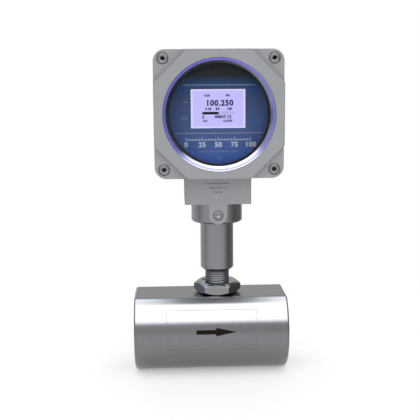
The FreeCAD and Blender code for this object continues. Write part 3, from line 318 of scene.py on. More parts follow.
def paint_material():
    """Satin grey paint with a fine orange peel."""
    return textured("satin_grey_paint", (0.290, 0.296, 0.309), 0.5, scale=0.12, spread=0.025,
                    relief=0.12, depth=0.03, edge=0.35 * MM, specular=0.12)


GLASS_IOR = 1.25     # below real glass, for the faint reflections that the window shows


def glass_material():
    """Clear glass with the faint reflections of its outer face."""
    material, tree, shader = new_material("window_glass")
    clear = tree.nodes.new("ShaderNodeBsdfTransparent")
    mix = tree.nodes.new("ShaderNodeMixShader")
    fresnel = tree.nodes.new("ShaderNodeFresnel")
    fresnel.inputs["IOR"].default_value = GLASS_IOR
    facing = tree.nodes.new("ShaderNodeNewGeometry")
    outside = math_node(tree, "SUBTRACT", 1.0, facing.outputs["Backfacing"])
    shader.inputs["Base Color"].default_value = (0.02, 0.03, 0.05, 1)
    smears = map_range(tree, noise(tree, 0.08), 0.35, 0.7, 0.02, 0.06)
    tree.links.new(smears, shader.inputs["Roughness"])
    shader.inputs["Metallic"].default_value = 0.0
    output = tree.nodes["Material Output"]
    tree.links.new(math_node(tree, "MULTIPLY", fresnel.outputs["Fac"], outside), mix.inputs["Fac"])
    tree.links.new(clear.outputs["BSDF"], mix.inputs[1])
    tree.links.new(shader.outputs["BSDF"], mix.inputs[2])
    tree.links.new(mix.outputs["Shader"], output.inputs["Surface"])
    return material


# colour of the dial at heights from its lower edge, 0, to its upper edge, 1: deep blue print, with painted
# shade that darkens it to near black towards the top
DIAL_SHADE_STOPS = [
    (0.12, (0.056, 0.118, 0.366)), (0.25, (0.056, 0.094, 0.262)), (0.44, (0.048, 0.081, 0.208)),
    (0.63, (0.040, 0.067, 0.155)), (0.78, (0.020, 0.058, 0.165)), (0.87, (0.022, 0.026, 0.032)),
]


def shaded_dial_material():
    """Deep blue printed plate, with painted shade that darkens it to near black towards the top."""
    material, tree, shader = new_material("dial_print")
    radius = half_size("dial_plate").z
    height = map_range(tree, object_axes(tree)["Z"], WINDOW.z - radius, WINDOW.z + radius, 0, 1)
    grain = math_node(tree, "MULTIPLY", noise(tree, 0.5), 0.02)
    # the ramp paints the shade of the dial's top into its colour
    colour = ramp(tree, math_node(tree, "ADD", height, grain), DIAL_SHADE_STOPS)
    tree.links.new(colour, shader.inputs["Base Color"])
    shader.inputs["Specular IOR Level"].default_value = 0.1
    gloss = map_range(tree, noise(tree, 1.5), 0.3, 0.7, 0.42, 0.52)
    tree.links.new(gloss, shader.inputs["Roughness"])
    return material


SCREEN_HALF = {"X": 16.8 * MM, "Z": 11.9 * MM}     # from the screen's centre to its lit rim
SCREEN_STOPS = [(0.0, (0.53, 0.49, 1.0)), (0.9, (0.55, 0.515, 1.0)), (1.0, (0.82, 0.77, 1.0))]
PIXEL = 0.26                                       # side of a pixel in millimetres
PIXEL_GAP = 0.03
PIXEL_GAP_LIGHT = 0.93
SCREEN_LIGHT = 0.93


def pixel_grid(tree):
    """Brightness of the screen's pixels: full on them and a little less between them."""
    grid = tree.nodes.new("ShaderNodeTexBrick")
    grid.offset = 0
    grid.inputs["Scale"].default_value = 1.0
    grid.inputs["Mortar Size"].default_value = PIXEL_GAP
    grid.inputs["Brick Width"].default_value = PIXEL
    grid.inputs["Row Height"].default_value = PIXEL
    grid.inputs["Color1"].default_value = (1, 1, 1, 1)
    grid.inputs["Color2"].default_value = (1, 1, 1, 1)
    grid.inputs["Mortar"].default_value = (PIXEL_GAP_LIGHT, PIXEL_GAP_LIGHT, PIXEL_GAP_LIGHT, 1)
    tree.links.new(object_coordinates(tree), grid.inputs["Vector"])
    return grid.outputs["Color"]


def screen_material():
    """Lit screen: lavender, a little lighter towards its rim, with a faint pixel grid."""
    material, tree, shader = new_material("lit_screen")
    place = object_axes(tree)
    centre = middle("lcd_panel")
    reach = []
    for axis, half in SCREEN_HALF.items():
        offset = math_node(tree, "SUBTRACT", place[axis], centre["XYZ".index(axis)])
        reach.append(math_node(tree, "DIVIDE", math_node(tree, "ABSOLUTE", offset), half))
    glow = ramp(tree, math_node(tree, "MAXIMUM", *reach), SCREEN_STOPS)
    tree.links.new(glow, shader.inputs["Emission Color"])
    strength = map_range(tree, pixel_grid(tree), 0, 1, 0, SCREEN_LIGHT)
    tree.links.new(strength, shader.inputs["Emission Strength"])
    shader.inputs["Base Color"].default_value = (0.02, 0.02, 0.03, 1)
    shader.inputs["Roughness"].default_value = 0.25
    return material


def accent_material():
    """Violet ring that glows by its own emission, with a metallic face."""
    material = textured("violet_ring", (0.12, 0.12, 0.16), 0.2, metallic=1.0, scale=0.3,
                        spread=0.05, relief=0.0)
    shader = material.node_tree.nodes["Principled BSDF"]
    shader.inputs["Emission Color"].default_value = (0.165, 0.17, 0.97, 1)
    shader.inputs["Emission Strength"].default_value = 0.62
    return material


def ribbon_material():
    """Flat cable: one wire beside the other."""
    material, tree, shader = new_material("ribbon_cable")
    wave = tree.nodes.new("ShaderNodeTexWave")
    wave.inputs["Scale"].default_value = 0.25
    tree.links.new(object_coordinates(tree), wave.inputs["Vector"])
    colour = ramp(tree, wave.outputs["Fac"], [(0.1, (0.20, 0.20, 0.21)), (0.5, (0.42, 0.43, 0.45))])
    tree.links.new(colour, shader.inputs["Base Color"])
    tree.links.new(bump(tree, wave.outputs["Fac"], 0.5, 0.3 * MM), shader.inputs["Normal"])
    shader.inputs["Roughness"].default_value = 0.45
    return material


def winding_material():
    """Coil of fine enamelled wire."""
    material, tree, shader = new_material("enamelled_wire")
    wave = tree.nodes.new("ShaderNodeTexWave")
    wave.bands_direction = "Z"
    wave.inputs["Scale"].default_value = 1.2
    tree.links.new(object_coordinates(tree), wave.inputs["Vector"])
    colour = ramp(tree, wave.outputs["Fac"], [(0.1, (0.16, 0.04, 0.015)), (0.6, (0.55, 0.20, 0.08))])
    tree.links.new(colour, shader.inputs["Base Color"])
    tree.links.new(bump(tree, wave.outputs["Fac"], 0.6, 0.1 * MM), shader.inputs["Normal"])
    shader.inputs["Metallic"].default_value = 0.8
    shader.inputs["Roughness"].default_value = 0.3
    return material


PAINT = paint_material()
BODY_STEEL = body_material()
NUT_STEEL = textured("bright_steel", (0.245, 0.247, 0.25), 0.17, metallic=1.0, scale=0.8, spread=0.06,
                     relief=0.05, depth=0.01, stretch=ROUND_Z, edge=0.3 * MM)
# darker than the other steels: painted shade for the thread's grooves
SHADED_THREAD_STEEL = textured("thread_steel_painted_shade", (0.105, 0.108, 0.115), 0.42, metallic=1.0, scale=0.6, spread=0.05,
                        gloss=0.03, relief=0.0)
STEM_STEEL = textured("blasted_steel", (0.228, 0.232, 0.237), 0.22, metallic=1.0, scale=1.2, spread=0.04,
                      relief=0.08, depth=0.02, edge=0.3 * MM)
RING_STEEL = textured("spring_steel", (0.30, 0.30, 0.31), 0.35, metallic=1.0, scale=0.5, edge=0.1 * MM)
BEZEL = textured("polished_bezel", (0.27, 0.272, 0.28), 0.13, metallic=1.0, scale=0.3, spread=0.03,
                 relief=0.02, depth=0.01, edge=0.15 * MM)
ACCENT = accent_material()
SCREW_STEEL = textured("plated_screw", (0.25, 0.252, 0.258), 0.2, metallic=1.0, scale=0.8, spread=0.08,
                       relief=0.05, depth=0.02, edge=0.12 * MM)
GLASS = glass_material()
# black rubber of the seals, also used as the painted shade of the nut's punch mark
RUBBER_AND_SHADE = textured("black_rubber_and_painted_shade", (0.006, 0.006, 0.007), 0.6, scale=1.0, relief=0.2, depth=0.03,
                  specular=0.15)
CLAMP = textured("black_nylon", (0.03, 0.03, 0.03), 0.5, scale=0.8, relief=0.2, depth=0.03)
# dial with painted shade towards its top
SHADED_DIAL = shaded_dial_material()
SCREEN = screen_material()
INK_DARK = textured("screen_ink", (0.008, 0.007, 0.016), 0.5, scale=2.0, spread=0.15, specular=0.1)
INK_PALE = textured("pale_dial_ink", (0.42, 0.47, 0.56), 0.5, scale=2.0, spread=0.1)
INK_LINE = textured("line_dial_ink", (0.155, 0.185, 0.235), 0.5, scale=2.0, spread=0.1)
INK_FAINT = textured("faint_dial_ink", (0.13, 0.16, 0.24), 0.5, scale=2.0, spread=0.1)
ARROW_INK = textured("etched_arrow", (0.012, 0.007, 0.006), 0.7, scale=1.0, spread=0.3, specular=0.05)
LABEL_LINE = textured("engraved_line", (0.13, 0.13, 0.135), 0.5, metallic=0.5, scale=1.0, spread=0.15)
LIGHT_GUIDE = textured("light_guide", (0.78, 0.78, 0.82), 0.3, scale=0.4, spread=0.04)
BOARD = textured("circuit_board", (0.012, 0.10, 0.045), 0.35, scale=0.25, spread=0.4, relief=0.3, depth=0.05)
CHIP = textured("moulded_resin", (0.02, 0.02, 0.021), 0.5, scale=1.5, relief=0.3)
CAN = textured("aluminium_can", (0.55, 0.55, 0.57), 0.3, metallic=1.0, scale=0.6)
TERMINAL = textured("green_terminal", (0.02, 0.24, 0.09), 0.4, scale=0.6)
RIBBON = ribbon_material()
CABLE = textured("cable_sheath", (0.02, 0.02, 0.02), 0.5, scale=1.2, relief=0.2)
ROTOR_STEEL = textured("rotor_steel", (0.48, 0.48, 0.50), 0.24, metallic=1.0, scale=0.7, stretch=ACROSS_X,
                       spread=0.07, edge=0.12 * MM)
GUIDE_STEEL = textured("guide_steel", (0.42, 0.43, 0.44), 0.3, metallic=1.0, scale=0.7, stretch=ACROSS_X,
                       spread=0.07, edge=0.12 * MM)
CARBIDE = textured("ground_carbide", (0.16, 0.16, 0.17), 0.25, metallic=1.0, scale=1.5)
COPPER = winding_material()
BOBBIN = textured("bobbin_plastic", (0.60, 0.56, 0.44), 0.45, scale=0.8)
MAGNET = textured("sintered_magnet", (0.09, 0.09, 0.095), 0.6, metallic=0.4, scale=1.5, relief=0.4)
RESIN = textured("potting_resin", (0.015, 0.015, 0.016), 0.25, scale=0.4)

SLOT_MATERIALS = {
    "body_steel": BODY_STEEL, "nut_steel": NUT_STEEL, "stem_steel": STEM_STEEL, "ring_steel": RING_STEEL,
    "cast_grey": PAINT, "bezel_metal": BEZEL, "accent_violet": ACCENT, "screw_steel": SCREW_STEEL,
    "glass": GLASS, "seal_rubber": RUBBER_AND_SHADE, "clamp_black": CLAMP, "dial_print": SHADED_DIAL, "lcd": SCREEN,
    "lamp_white": LIGHT_GUIDE, "board_green": BOARD, "chip_black": CHIP, "can_aluminium": CAN,
    "terminal_green": TERMINAL, "ribbon_grey": RIBBON, "cable_black": CABLE, "rotor_steel": ROTOR_STEEL,
    "guide_steel": GUIDE_STEEL, "carbide": CARBIDE, "coil_copper": COPPER, "bobbin_plastic": BOBBIN,
    "magnet_dark": MAGNET, "resin_black": RESIN,
}


def dress_nodes():
    """Gives each CAD node the material of its slot."""
    for part in frame["record"]["subparts"]:
        node = frame["nodes"][part["node"]]
        for place in node.material_slots:
            place.material = SLOT_MATERIALS[part["material_slot"]]


# ---------------------------------------------------------------- threads
# The G1 thread is drawn with the metric thread's form, which is 5 degrees wider and has flat crests.
G1_PITCH = 2.309 * MM
ENTRY_PITCH = 1.5 * MM
RIDGE_SHARE = 0.5413        # height of an internal thread, as a share of its pitch
HOLE_STEPS = 10             # rings in each pitch
HOLE_SEGMENTS = 72
BARREL_PITCH = 1.5 * MM
BARREL_THREAD_R = 8.0 * MM
BARREL_RIDGE_SHARE = 0.2    # shallower than a real one, whose rings would stand out more than in the photo
BARREL_STEPS = 12
BARREL_SEGMENTS = 96
BARREL_END_GAP = 0.05 * MM  # from the thread's ends to the nut and to the stem


def internal_thread(name, axes, start, length, major_r, pitch, body, material):
    """Thread ridges on the wall of a bored hole, as a sleeve with a threaded inside."""
    u, v, w = axes
    height = RIDGE_SHARE * pitch
    steps = int(length / pitch * HOLE_STEPS)
    rings = []
    for i in range(steps + 1):
        along = length * i / steps
        fade = min(1.0, along / pitch, (length - along) / pitch)
        ring = []
        for j in range(HOLE_SEGMENTS):
            turn = j / HOLE_SEGMENTS
            a = 2 * math.pi * turn
            radius = major_r - thread_depth(along + turn * pitch, pitch, height) * fade
            ring.append(start + w * along + (u * math.cos(a) + v * math.sin(a)) * radius)
        rings.append(ring)
    outside = [ring_points(major_r, level, axes, start, HOLE_SEGMENTS) for level in (length, 0)]
    mesh = swept_rings(name, rings + outside, closed=True)
    return add_piece(name, mesh, body, material)


def hole_thread(name, hole, across, pitch, body, material):
    """Internal thread over the stated length of a threaded mount."""
    axis = Vector(hole["axis"])
    length = hole["dims"]["length_mm"] * MM
    start = Vector(hole["pos_m"]) - axis * length / 2
    radius = hole["dims"]["r_mm"] * MM - PRINT_GAP
    return internal_thread(name, (*across, axis), start, length, radius, pitch, body, material)


def make_port_threads():
    for side in ("inlet", "outlet"):
        port = mount(side + "_port")
        hole_thread(side + "_thread", port, X_AXES[:2], G1_PITCH, "meter_body", BODY_STEEL)


def make_entry_thread():
    hole_thread("entry_thread", mount("cable_entry"), Y_AXES[:2], ENTRY_PITCH, "head", PAINT)


def make_barrel():
    """Pickup barrel: plain where it is screwed in, with its thread cut where it shows."""
    height = BARREL_RIDGE_SHARE * BARREL_PITCH
    low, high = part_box("pickup_barrel")
    plain_r = half_size("pickup_barrel").x
    bottom = NUT_TOP + BARREL_END_GAP
    top = STEM_LOW - BARREL_END_GAP
    origin = Vector((STEM_X, 0, 0))
    steps = int((top - bottom) / BARREL_PITCH * BARREL_STEPS)
    levels = [low[2], bottom]
    levels += [bottom + (top - bottom) * i / steps for i in range(steps + 1)]
    levels += [top, high[2]]
    rings = []
    for i, z in enumerate(levels):
        threaded = 1 < i < len(levels) - 2
        ring = []
        for j in range(BARREL_SEGMENTS):
            turn = j / BARREL_SEGMENTS
            a = 2 * math.pi * turn
            radius = plain_r
            if threaded:
                ridge = thread_depth(z - turn * BARREL_PITCH, BARREL_PITCH, height)
                radius = BARREL_THREAD_R - height + ridge
            ring.append(origin + Vector((math.cos(a) * radius, math.sin(a) * radius, z)))
        rings.append(ring)
    mesh = swept_rings("threaded_barrel", rings)
    # the thread's steel is darkened with painted shade
    return add_piece("threaded_barrel", mesh, "meter_body", SHADED_THREAD_STEEL, ["pickup_barrel"])


# ---------------------------------------------------------------- screws
SCREW_SEGMENTS = 48
SCREW_SHANK_R = 2.0 * MM
SCREW_RIM = 0.3 * MM          # radius of the head's rounded rim
RIM_SHARE = 0.4               # the most of a low head's height that the rim takes
RIM_STEPS = 3
SOCKET_MOUTH_SCALE = 1.12     # the socket is this much wider at its mouth
SOCKET_MOUTH_DEPTH = 0.12 * MM
DRILL_DEPTH = 2.4 * MM        # drilled point of the socket, below the head's seat
DRILL_END_GAP = 0.3 * MM      # metal left below that point in a short screw
SOCKET_FLOOR_SHARE = 1 / 4    # depth of the socket's floor below the seat, as a share of the point's
COVER_HEAD_R = 3.1 * MM       # a little wider than the solid, as in the photo
COVER_HEAD_H = 3.2 * MM
COVER_INSET = 2.9 * MM        # screw axes from the edges of the four screws' box
COVER_SOCKET = 2.6 * MM       # across flats
TAB_HEAD_H = 0.9 * MM
TAB_SOCKET = 2.4 * MM
TAB_TWIST = 0.6               # in radians


def cover_twist(column, row):
    """Angle at which a cover screw came to rest: another one for each."""
    return math.radians(18 + 37 * column + 23 * row)


def socket_outline(across_flats, twist):
    """Corners of a hexagon socket."""
    corner_r = across_flats / math.sqrt(3)
    angles = [twist + math.pi / 3 * i for i in range(6)]
    return [(corner_r * math.cos(a), corner_r * math.sin(a)) for a in angles]


def screw_shell(name, start, head_r, head_h, length):
    """Shank and head of a cap screw with a rounded rim, open at both ends."""
    rim = min(SCREW_RIM, RIM_SHARE * head_h)
    outline = [(SCREW_SHANK_R, length), (SCREW_SHANK_R, 0), (head_r, 0), (head_r, rim - head_h)]
    for step in range(1, RIM_STEPS + 1):
        a = math.pi / 2 / RIM_STEPS * step
        outline.append((head_r - rim * (1 - math.cos(a)), rim * (1 - math.sin(a)) - head_h))
    rings = [ring_points(r, h, Y_AXES, start, SCREW_SEGMENTS) for r, h in outline]
    return swept_rings(name, rings, caps=False)


def socket_levels(bm, start, head_h, across_flats, twist, drill_end):
    """Corners of the socket at its mouth, below the mouth's chamfer and at its floor."""
    u, v, w = Y_AXES
    places = [(SOCKET_MOUTH_SCALE, -head_h), (1.0, SOCKET_MOUTH_DEPTH - head_h),
              (1.0, drill_end * SOCKET_FLOOR_SHARE)]
    levels = []
    for scale, level in places:
        corners = socket_outline(across_flats * scale, twist)
        levels.append([bm.verts.new(start + u * x + v * y + w * level) for x, y in corners])
    return levels


def screw_mesh(name, start, head_r, head_h, length, across_flats, twist):
    """Cap screw with a hexagon socket. Its head stands towards -Y and start is its seat."""
    shell = screw_shell(name + "_shell", start, head_r, head_h, length)
    bm = bmesh.new()
    bm.from_mesh(shell)
    bpy.data.meshes.remove(shell)
    bm.verts.ensure_lookup_table()
    bm.faces.new(bm.verts[:SCREW_SEGMENTS])
    outer = bm.verts[-SCREW_SEGMENTS:]
    drill_end = min(DRILL_DEPTH, length - DRILL_END_GAP)
    levels = socket_levels(bm, start, head_h, across_flats, twist, drill_end)
    edges = [bm.edges.get((outer[i - 1], outer[i])) for i in range(SCREW_SEGMENTS)]
    edges += [bm.edges.new((levels[0][i - 1], levels[0][i])) for i in range(6)]
    bmesh.ops.triangle_fill(bm, edges=edges, use_beauty=True)
    for high, low in zip(levels, levels[1:]):
        for i in range(6):
            bm.faces.new((high[i - 1], high[i], low[i], low[i - 1]))
    drill_point = bm.verts.new(start + Y_AXES[2] * drill_end)
    for i in range(6):
        bm.faces.new((levels[-1][i - 1], levels[-1][i], drill_point))
    bmesh.ops.recalc_face_normals(bm, faces=bm.faces)
    mesh = bpy.data.meshes.new(name)
    bm.to_mesh(mesh)
    bm.free()
    return mesh


def make_cover_screws():
    low, high = (Vector(v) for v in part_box("cover_screws"))
    meshes = []
    for column, x in enumerate((low.x + COVER_INSET, high.x - COVER_INSET)):
        for row, z in enumerate((low.z + COVER_INSET, high.z - COVER_INSET)):
            start = Vector((x, low.y + COVER_HEAD_H, z))
            twist = cover_twist(column, row)
            meshes.append(screw_mesh("cap_screw", start, COVER_HEAD_R, COVER_HEAD_H, high.y - start.y,
                                     COVER_SOCKET, twist))
    mesh = joined("cap_screws", meshes)
    return add_piece("cap_screws", mesh, "head", SCREW_STEEL, ["cover_screws"])


def make_tab_screw():
    low, high = (Vector(v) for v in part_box("tab_screw"))
    centre = middle("tab_screw")
    start = Vector((centre.x, low.y + TAB_HEAD_H, centre.z))
    mesh = screw_mesh("locking_screw", start, half_size("tab_screw").x, TAB_HEAD_H, high.y - start.y,
                      TAB_SOCKET, TAB_TWIST)
    return add_piece("locking_screw", mesh, "head", SCREW_STEEL, ["tab_screw"])


# ---------------------------------------------------------------- print on the dial and the screen
# Places on the dial and the screen are in millimetres from the centre of the window.
LINE_THICK = 0.55
DIAL_LINES = [(-21.4, 22.7, 17.6), (-26.7, 27.1, -11.8)]      # x from, x to, z
SCALE_Z = -16.0
SCALE_HALF = 20
SCALE_THICK = 0.35
SCALE_PARTS = 20
LONG_TICK, SHORT_TICK = 1.6, 0.9
NUMBER_DROP = 3.0
NUMBER_HEIGHT = 2.9
DASH_Z, DASH_HALF, DASH_THICK = -23.2, 0.6, 0.7
DASH_PLACES = range(-11, 12, 2)
SIDE_MARKS = [(-21.6, -18.6, 7.2), (-23.0, -18.6, -2.75)]     # x from, x to, z
SIDE_MARK_THICK = 0.5
POINTER_X = 0.3
POINTER_TOP, POINTER_TIP, POINTER_LOW = -26.2, -28.0, -28.9
POINTER_OUTER, POINTER_INNER = 1.6, 1.1
TYPE_HEIGHT_SHARE = 0.7       # height of a digit, as a share of the type size
SCREEN_NUMBERS = [            # text, x, z, height
    ("4.20", -6.8, 11.2, 1.2), ("001", 6.1, 11.2, 1.2), ("100.250", 0.9, 6.5, 3.3),
    ("0 25", -6.0, 3.0, 1.3), ("50", -0.4, 3.0, 1.5), ("100", 6.9, 3.0, 1.3),
    ("2", -9.3, -1.9, 1.7), ("00847.12", 3.0, -1.9, 1.7),
    ("0.0", -8.0, -4.4, 1.2), ("12.070", 5.8, -4.4, 1.3),
]
GAUGE_LEFT, GAUGE_FILLED, GAUGE_RIGHT = -9.7, 0.3, 9.7
GAUGE_LOW, GAUGE_HIGH = -0.1, 1.0
GAUGE_LINE = 0.16
GAUGE_THICK = 1.6


def front_mesh(name, outlines, y):
    """Flat shapes that face -Y. Each outline is a list of (x, z) points from the centre of the window."""
    meshes = []
    for outline in outlines:
        front = [Vector((STEM_X + x * MM, y - PRINT_THICK, WINDOW.z + z * MM)) for x, z in outline]
        back = [p + Vector((0, PRINT_THICK, 0)) for p in front]
        meshes.append(swept_rings(name, [front, back]))
    return joined(name, meshes)


def bar(x0, x1, z, thickness):
    low, high = z - thickness / 2, z + thickness / 2
    return [(x0, low), (x1, low), (x1, high), (x0, high)]


def post(x, z0, z1, thickness):
    left, right = x - thickness / 2, x + thickness / 2
    return [(left, z0), (right, z0), (right, z1), (left, z1)]


def number_mesh(name, entries, y):
    """Numbers as flat meshes, centred on their places. Each entry is (text, x, z, height) in millimetres."""
    meshes = []
    for text, x, z, height in entries:
        curve = bpy.data.curves.new(name, "FONT")
        curve.body = text
        curve.size = height / TYPE_HEIGHT_SHARE * MM
        curve.align_x = "CENTER"
        curve.align_y = "CENTER"
        curve.extrude = PRINT_THICK / 2
        curve.offset = (0.04 * height + 0.06) * MM      # bolder strokes, most of all on small print
        curve.space_character = 1.12
        temporary = bpy.data.objects.new(name, curve)
        mesh = bpy.data.meshes.new_from_object(temporary)
        place = Matrix.Translation((STEM_X + x * MM, y - PRINT_THICK / 2, WINDOW.z + z * MM))
        mesh.transform(place @ Matrix.Rotation(math.pi / 2, 4, "X"))
        meshes.append(mesh)
        bpy.data.objects.remove(temporary)
        bpy.data.curves.remove(curve)
    return joined(name, meshes)


def add_shapes(name, outlines, y, ink):
    """Adds flat printed shapes on the head."""
    return add_piece(name, front_mesh(name, outlines, y), "head", ink, smooth=False)


def add_numbers(name, entries, y, ink):
    """Adds printed numbers on the head."""
    return add_piece(name, number_mesh(name, entries, y), "head", ink, smooth=False)


def scale_ticks():
    ticks = [bar(-SCALE_HALF, SCALE_HALF, SCALE_Z, SCALE_THICK)]
    for i in range(SCALE_PARTS + 1):
        height = LONG_TICK if i % 5 == 0 else SHORT_TICK
        x = 2 * SCALE_HALF / SCALE_PARTS * i - SCALE_HALF
        ticks.append(post(x, SCALE_Z, SCALE_Z + height, SCALE_THICK))
    return ticks


def pointer_stroke(side):
    """One slanted stroke of the pointer at the bottom of the dial; side is -1 or 1."""
    top = [(POINTER_X + side * reach, POINTER_TOP) for reach in (POINTER_OUTER, POINTER_INNER)]
    return top + [(POINTER_X, POINTER_TIP), (POINTER_X, POINTER_LOW)]


def make_dial_print():
    y = DIAL_Y - PRINT_GAP
    lines = [bar(*line, LINE_THICK) for line in DIAL_LINES]
    add_shapes("dial_lines", lines, y, INK_LINE)
    add_shapes("scale_ticks", scale_ticks(), y, INK_PALE)
    numbers = []
    for i in range(5):
        numbers.append((str(25 * i), SCALE_HALF * (i / 2 - 1), SCALE_Z - NUMBER_DROP, NUMBER_HEIGHT))
    add_numbers("scale_numbers", numbers, y, INK_PALE)
    marks = [bar(x - DASH_HALF, x + DASH_HALF, DASH_Z, DASH_THICK) for x in DASH_PLACES]
    marks += [pointer_stroke(-1), pointer_stroke(1)]
    marks += [bar(*mark, SIDE_MARK_THICK) for mark in SIDE_MARKS]
    add_shapes("faint_marks", marks, y, INK_FAINT)


def make_screen_print():
    y = LCD_Y - PRINT_GAP
    add_numbers("screen_numbers", SCREEN_NUMBERS, y, INK_DARK)
    middle_z = (GAUGE_LOW + GAUGE_HIGH) / 2
    bars = [bar(GAUGE_LEFT, GAUGE_FILLED, middle_z, GAUGE_THICK)]
    bars += [bar(GAUGE_FILLED, GAUGE_RIGHT, z, GAUGE_LINE) for z in (GAUGE_HIGH, GAUGE_LOW)]
    bars.append(post(GAUGE_RIGHT, GAUGE_LOW, GAUGE_HIGH, GAUGE_LINE))
    add_shapes("screen_bar", bars, y, INK_DARK)


# ---------------------------------------------------------------- marks on the body
FRAME_LINE = 0.22 * MM
FRAME_ENDS = (-28.9 * MM, 29.1 * MM)
FRAME_ANGLES = (-16.2, 37.5)          # lower and upper edge, in degrees above the horizontal
FRAME_ROWS = 24
ARROW_ANGLE = math.radians(8.1)
ARROW_TAIL, ARROW_NECK, ARROW_TIP = -10.0 * MM, 2.7 * MM, 15.7 * MM
ARROW_SHAFT_HALF, ARROW_HEAD_HALF = 1.4 * MM, 2.75 * MM
ARROW_ROWS = 24
ARROW_LEAST = 0.01 * MM               # length left in the head's outermost rows
NUT_MARK_PLACE = (STEM_X - 9.0 * MM, 1.7 * MM)
NUT_MARK_R = 2.0 * MM
NUT_MARK_NARROW = 0.42                # width of the oval, as a share of its length
NUT_MARK_LEVELS = (0.01 * MM, 0.05 * MM)


def on_bar(x, angle, lift):
    """Point on the front of the round body at an angle above the horizontal."""
    radius = BODY_R + lift
    return Vector((x, -math.cos(angle) * radius, BORE.z + math.sin(angle) * radius))


def bar_strip(name, rows):
    """Thin shell on the round body. Each row is (angle, x from, x to)."""
    rings = []
    for angle, x0, x1 in rows:
        ring = [on_bar(x0, angle, PRINT_GAP), on_bar(x1, angle, PRINT_GAP)]
        ring += [on_bar(x1, angle, PRINT_GAP + PRINT_THICK), on_bar(x0, angle, PRINT_GAP + PRINT_THICK)]
        rings.append(ring)
    return swept_rings(name, rings)


def add_body_mark(name, strips, material):
    return add_piece(name, joined(name, strips), "meter_body", material, smooth=False)


def make_label_frame():
    """Fine rectangle on the body that frames the arrow; it holds no words."""
    left, right = FRAME_ENDS
    low, high = FRAME_ANGLES
    step = FRAME_LINE / BODY_R
    strips = []
    for degrees in FRAME_ANGLES:
        a = math.radians(degrees)
        strips.append(bar_strip("label_edge", [(a - step / 2, left, right), (a + step / 2, left, right)]))
    angles = [math.radians(low + (high - low) * i / FRAME_ROWS) for i in range(FRAME_ROWS + 1)]
    for x in FRAME_ENDS:
        strips.append(bar_strip("label_side", [(a, x - FRAME_LINE / 2, x + FRAME_LINE / 2) for a in angles]))
    add_body_mark("label_frame", strips, LABEL_LINE)


def make_arrow():
    """Flow arrow, printed on the body."""
    head_rows = []
    for i in range(ARROW_ROWS + 1):
        s = 2 * ARROW_HEAD_HALF * i / ARROW_ROWS - ARROW_HEAD_HALF
        end = ARROW_TIP - (ARROW_TIP - ARROW_NECK) * abs(s) / ARROW_HEAD_HALF
        head_rows.append((ARROW_ANGLE + s / BODY_R, ARROW_NECK, max(ARROW_NECK + ARROW_LEAST, end)))
    shaft_rows = []
    for share in (-1, -0.5, 0, 0.5, 1):
        s = share * ARROW_SHAFT_HALF
        shaft_rows.append((ARROW_ANGLE + s / BODY_R, ARROW_TAIL, ARROW_NECK))
    strips = [bar_strip("arrow_head", head_rows), bar_strip("arrow_shaft", shaft_rows)]
    add_body_mark("flow_arrow", strips, ARROW_INK)


def make_nut_mark():
    """Oval punch mark on the nut's top face, as a thin dark disc of painted shade for the punched dent."""
    origin = Vector((*NUT_MARK_PLACE, NUT_TOP))
    oval = (Z_AXES[0] * NUT_MARK_NARROW, Z_AXES[1], Z_AXES[2])
    rings = [ring_points(NUT_MARK_R, level, oval, origin, 24) for level in NUT_MARK_LEVELS]
    # the dark disc is painted shade of the punched dent
    add_piece("punch_mark_shade", swept_rings("punch_mark_shade", rings), "lock_nut", RUBBER_AND_SHADE, smooth=False)


# ---------------------------------------------------------------- studio
FLOOR_HALF = 6                  # metres
FLOOR_DROP = 0.02 * MM          # so that the foot's face and the floor don't lie in one plane
FLOOR_GLOW = 0.26
FLOOR_PALE, FLOOR_PALER = 0.84, 0.86
AMBIENT = 0.48                  # light on matt surfaces from the left, the right and below
FILL = 1.05                     # what the front and the back have beyond that
TOP_SHARE = 0.45                # and the share of it that the ceiling has
SOFT_BOX = (5.5, 5.5, 5.665)

# colours of the room from its far left, 0, to its far right, 1
SIDE_STOPS = [
    (0.0, (0.40, 0.46, 0.54)), (0.025, (0.86, 0.87, 0.90)), (0.45, (0.90, 0.90, 0.91)),
    (0.60, (0.90, 0.90, 0.91)), (0.70, (0.56, 0.57, 0.585)), (1.0, (0.44, 0.445, 0.45)),
]
BACK_WALL = (0.72, 0.70, 0.675)
LOW_FRONT = (1.06, 1.07, 1.10)
LOW_RIGHT = (0.26, 0.262, 0.27)
RIGHT_BACK = (0.24, 0.245, 0.25)
CEILING = (0.14, 0.14, 0.15)
LEFT_SKY = (1.0, 1.22, 1.55)
WHITE = (1.0, 1.0, 1.0)


def product(tree, first, *others):
    """Product of sockets and numbers, from left to right."""
    for other in others:
        first = math_node(tree, "MULTIPLY", first, other)
    return first


def largest(tree, first, *others):
    for other in others:
        first = math_node(tree, "MAXIMUM", first, other)
    return first


def floor_reach(tree):
    """Distance from the foot, with the length of the bar taken out."""
    place = tree.nodes.new("ShaderNodeTexCoord")
    squeeze = tree.nodes.new("ShaderNodeMapping")
    squeeze.inputs["Scale"].default_value = (0.3, 1, 1)
    tree.links.new(place.outputs["Object"], squeeze.inputs["Vector"])
    length = tree.nodes.new("ShaderNodeVectorMath")
    length.operation = "LENGTH"
    tree.links.new(squeeze.outputs["Vector"], length.inputs[0])
    return length.outputs["Value"]


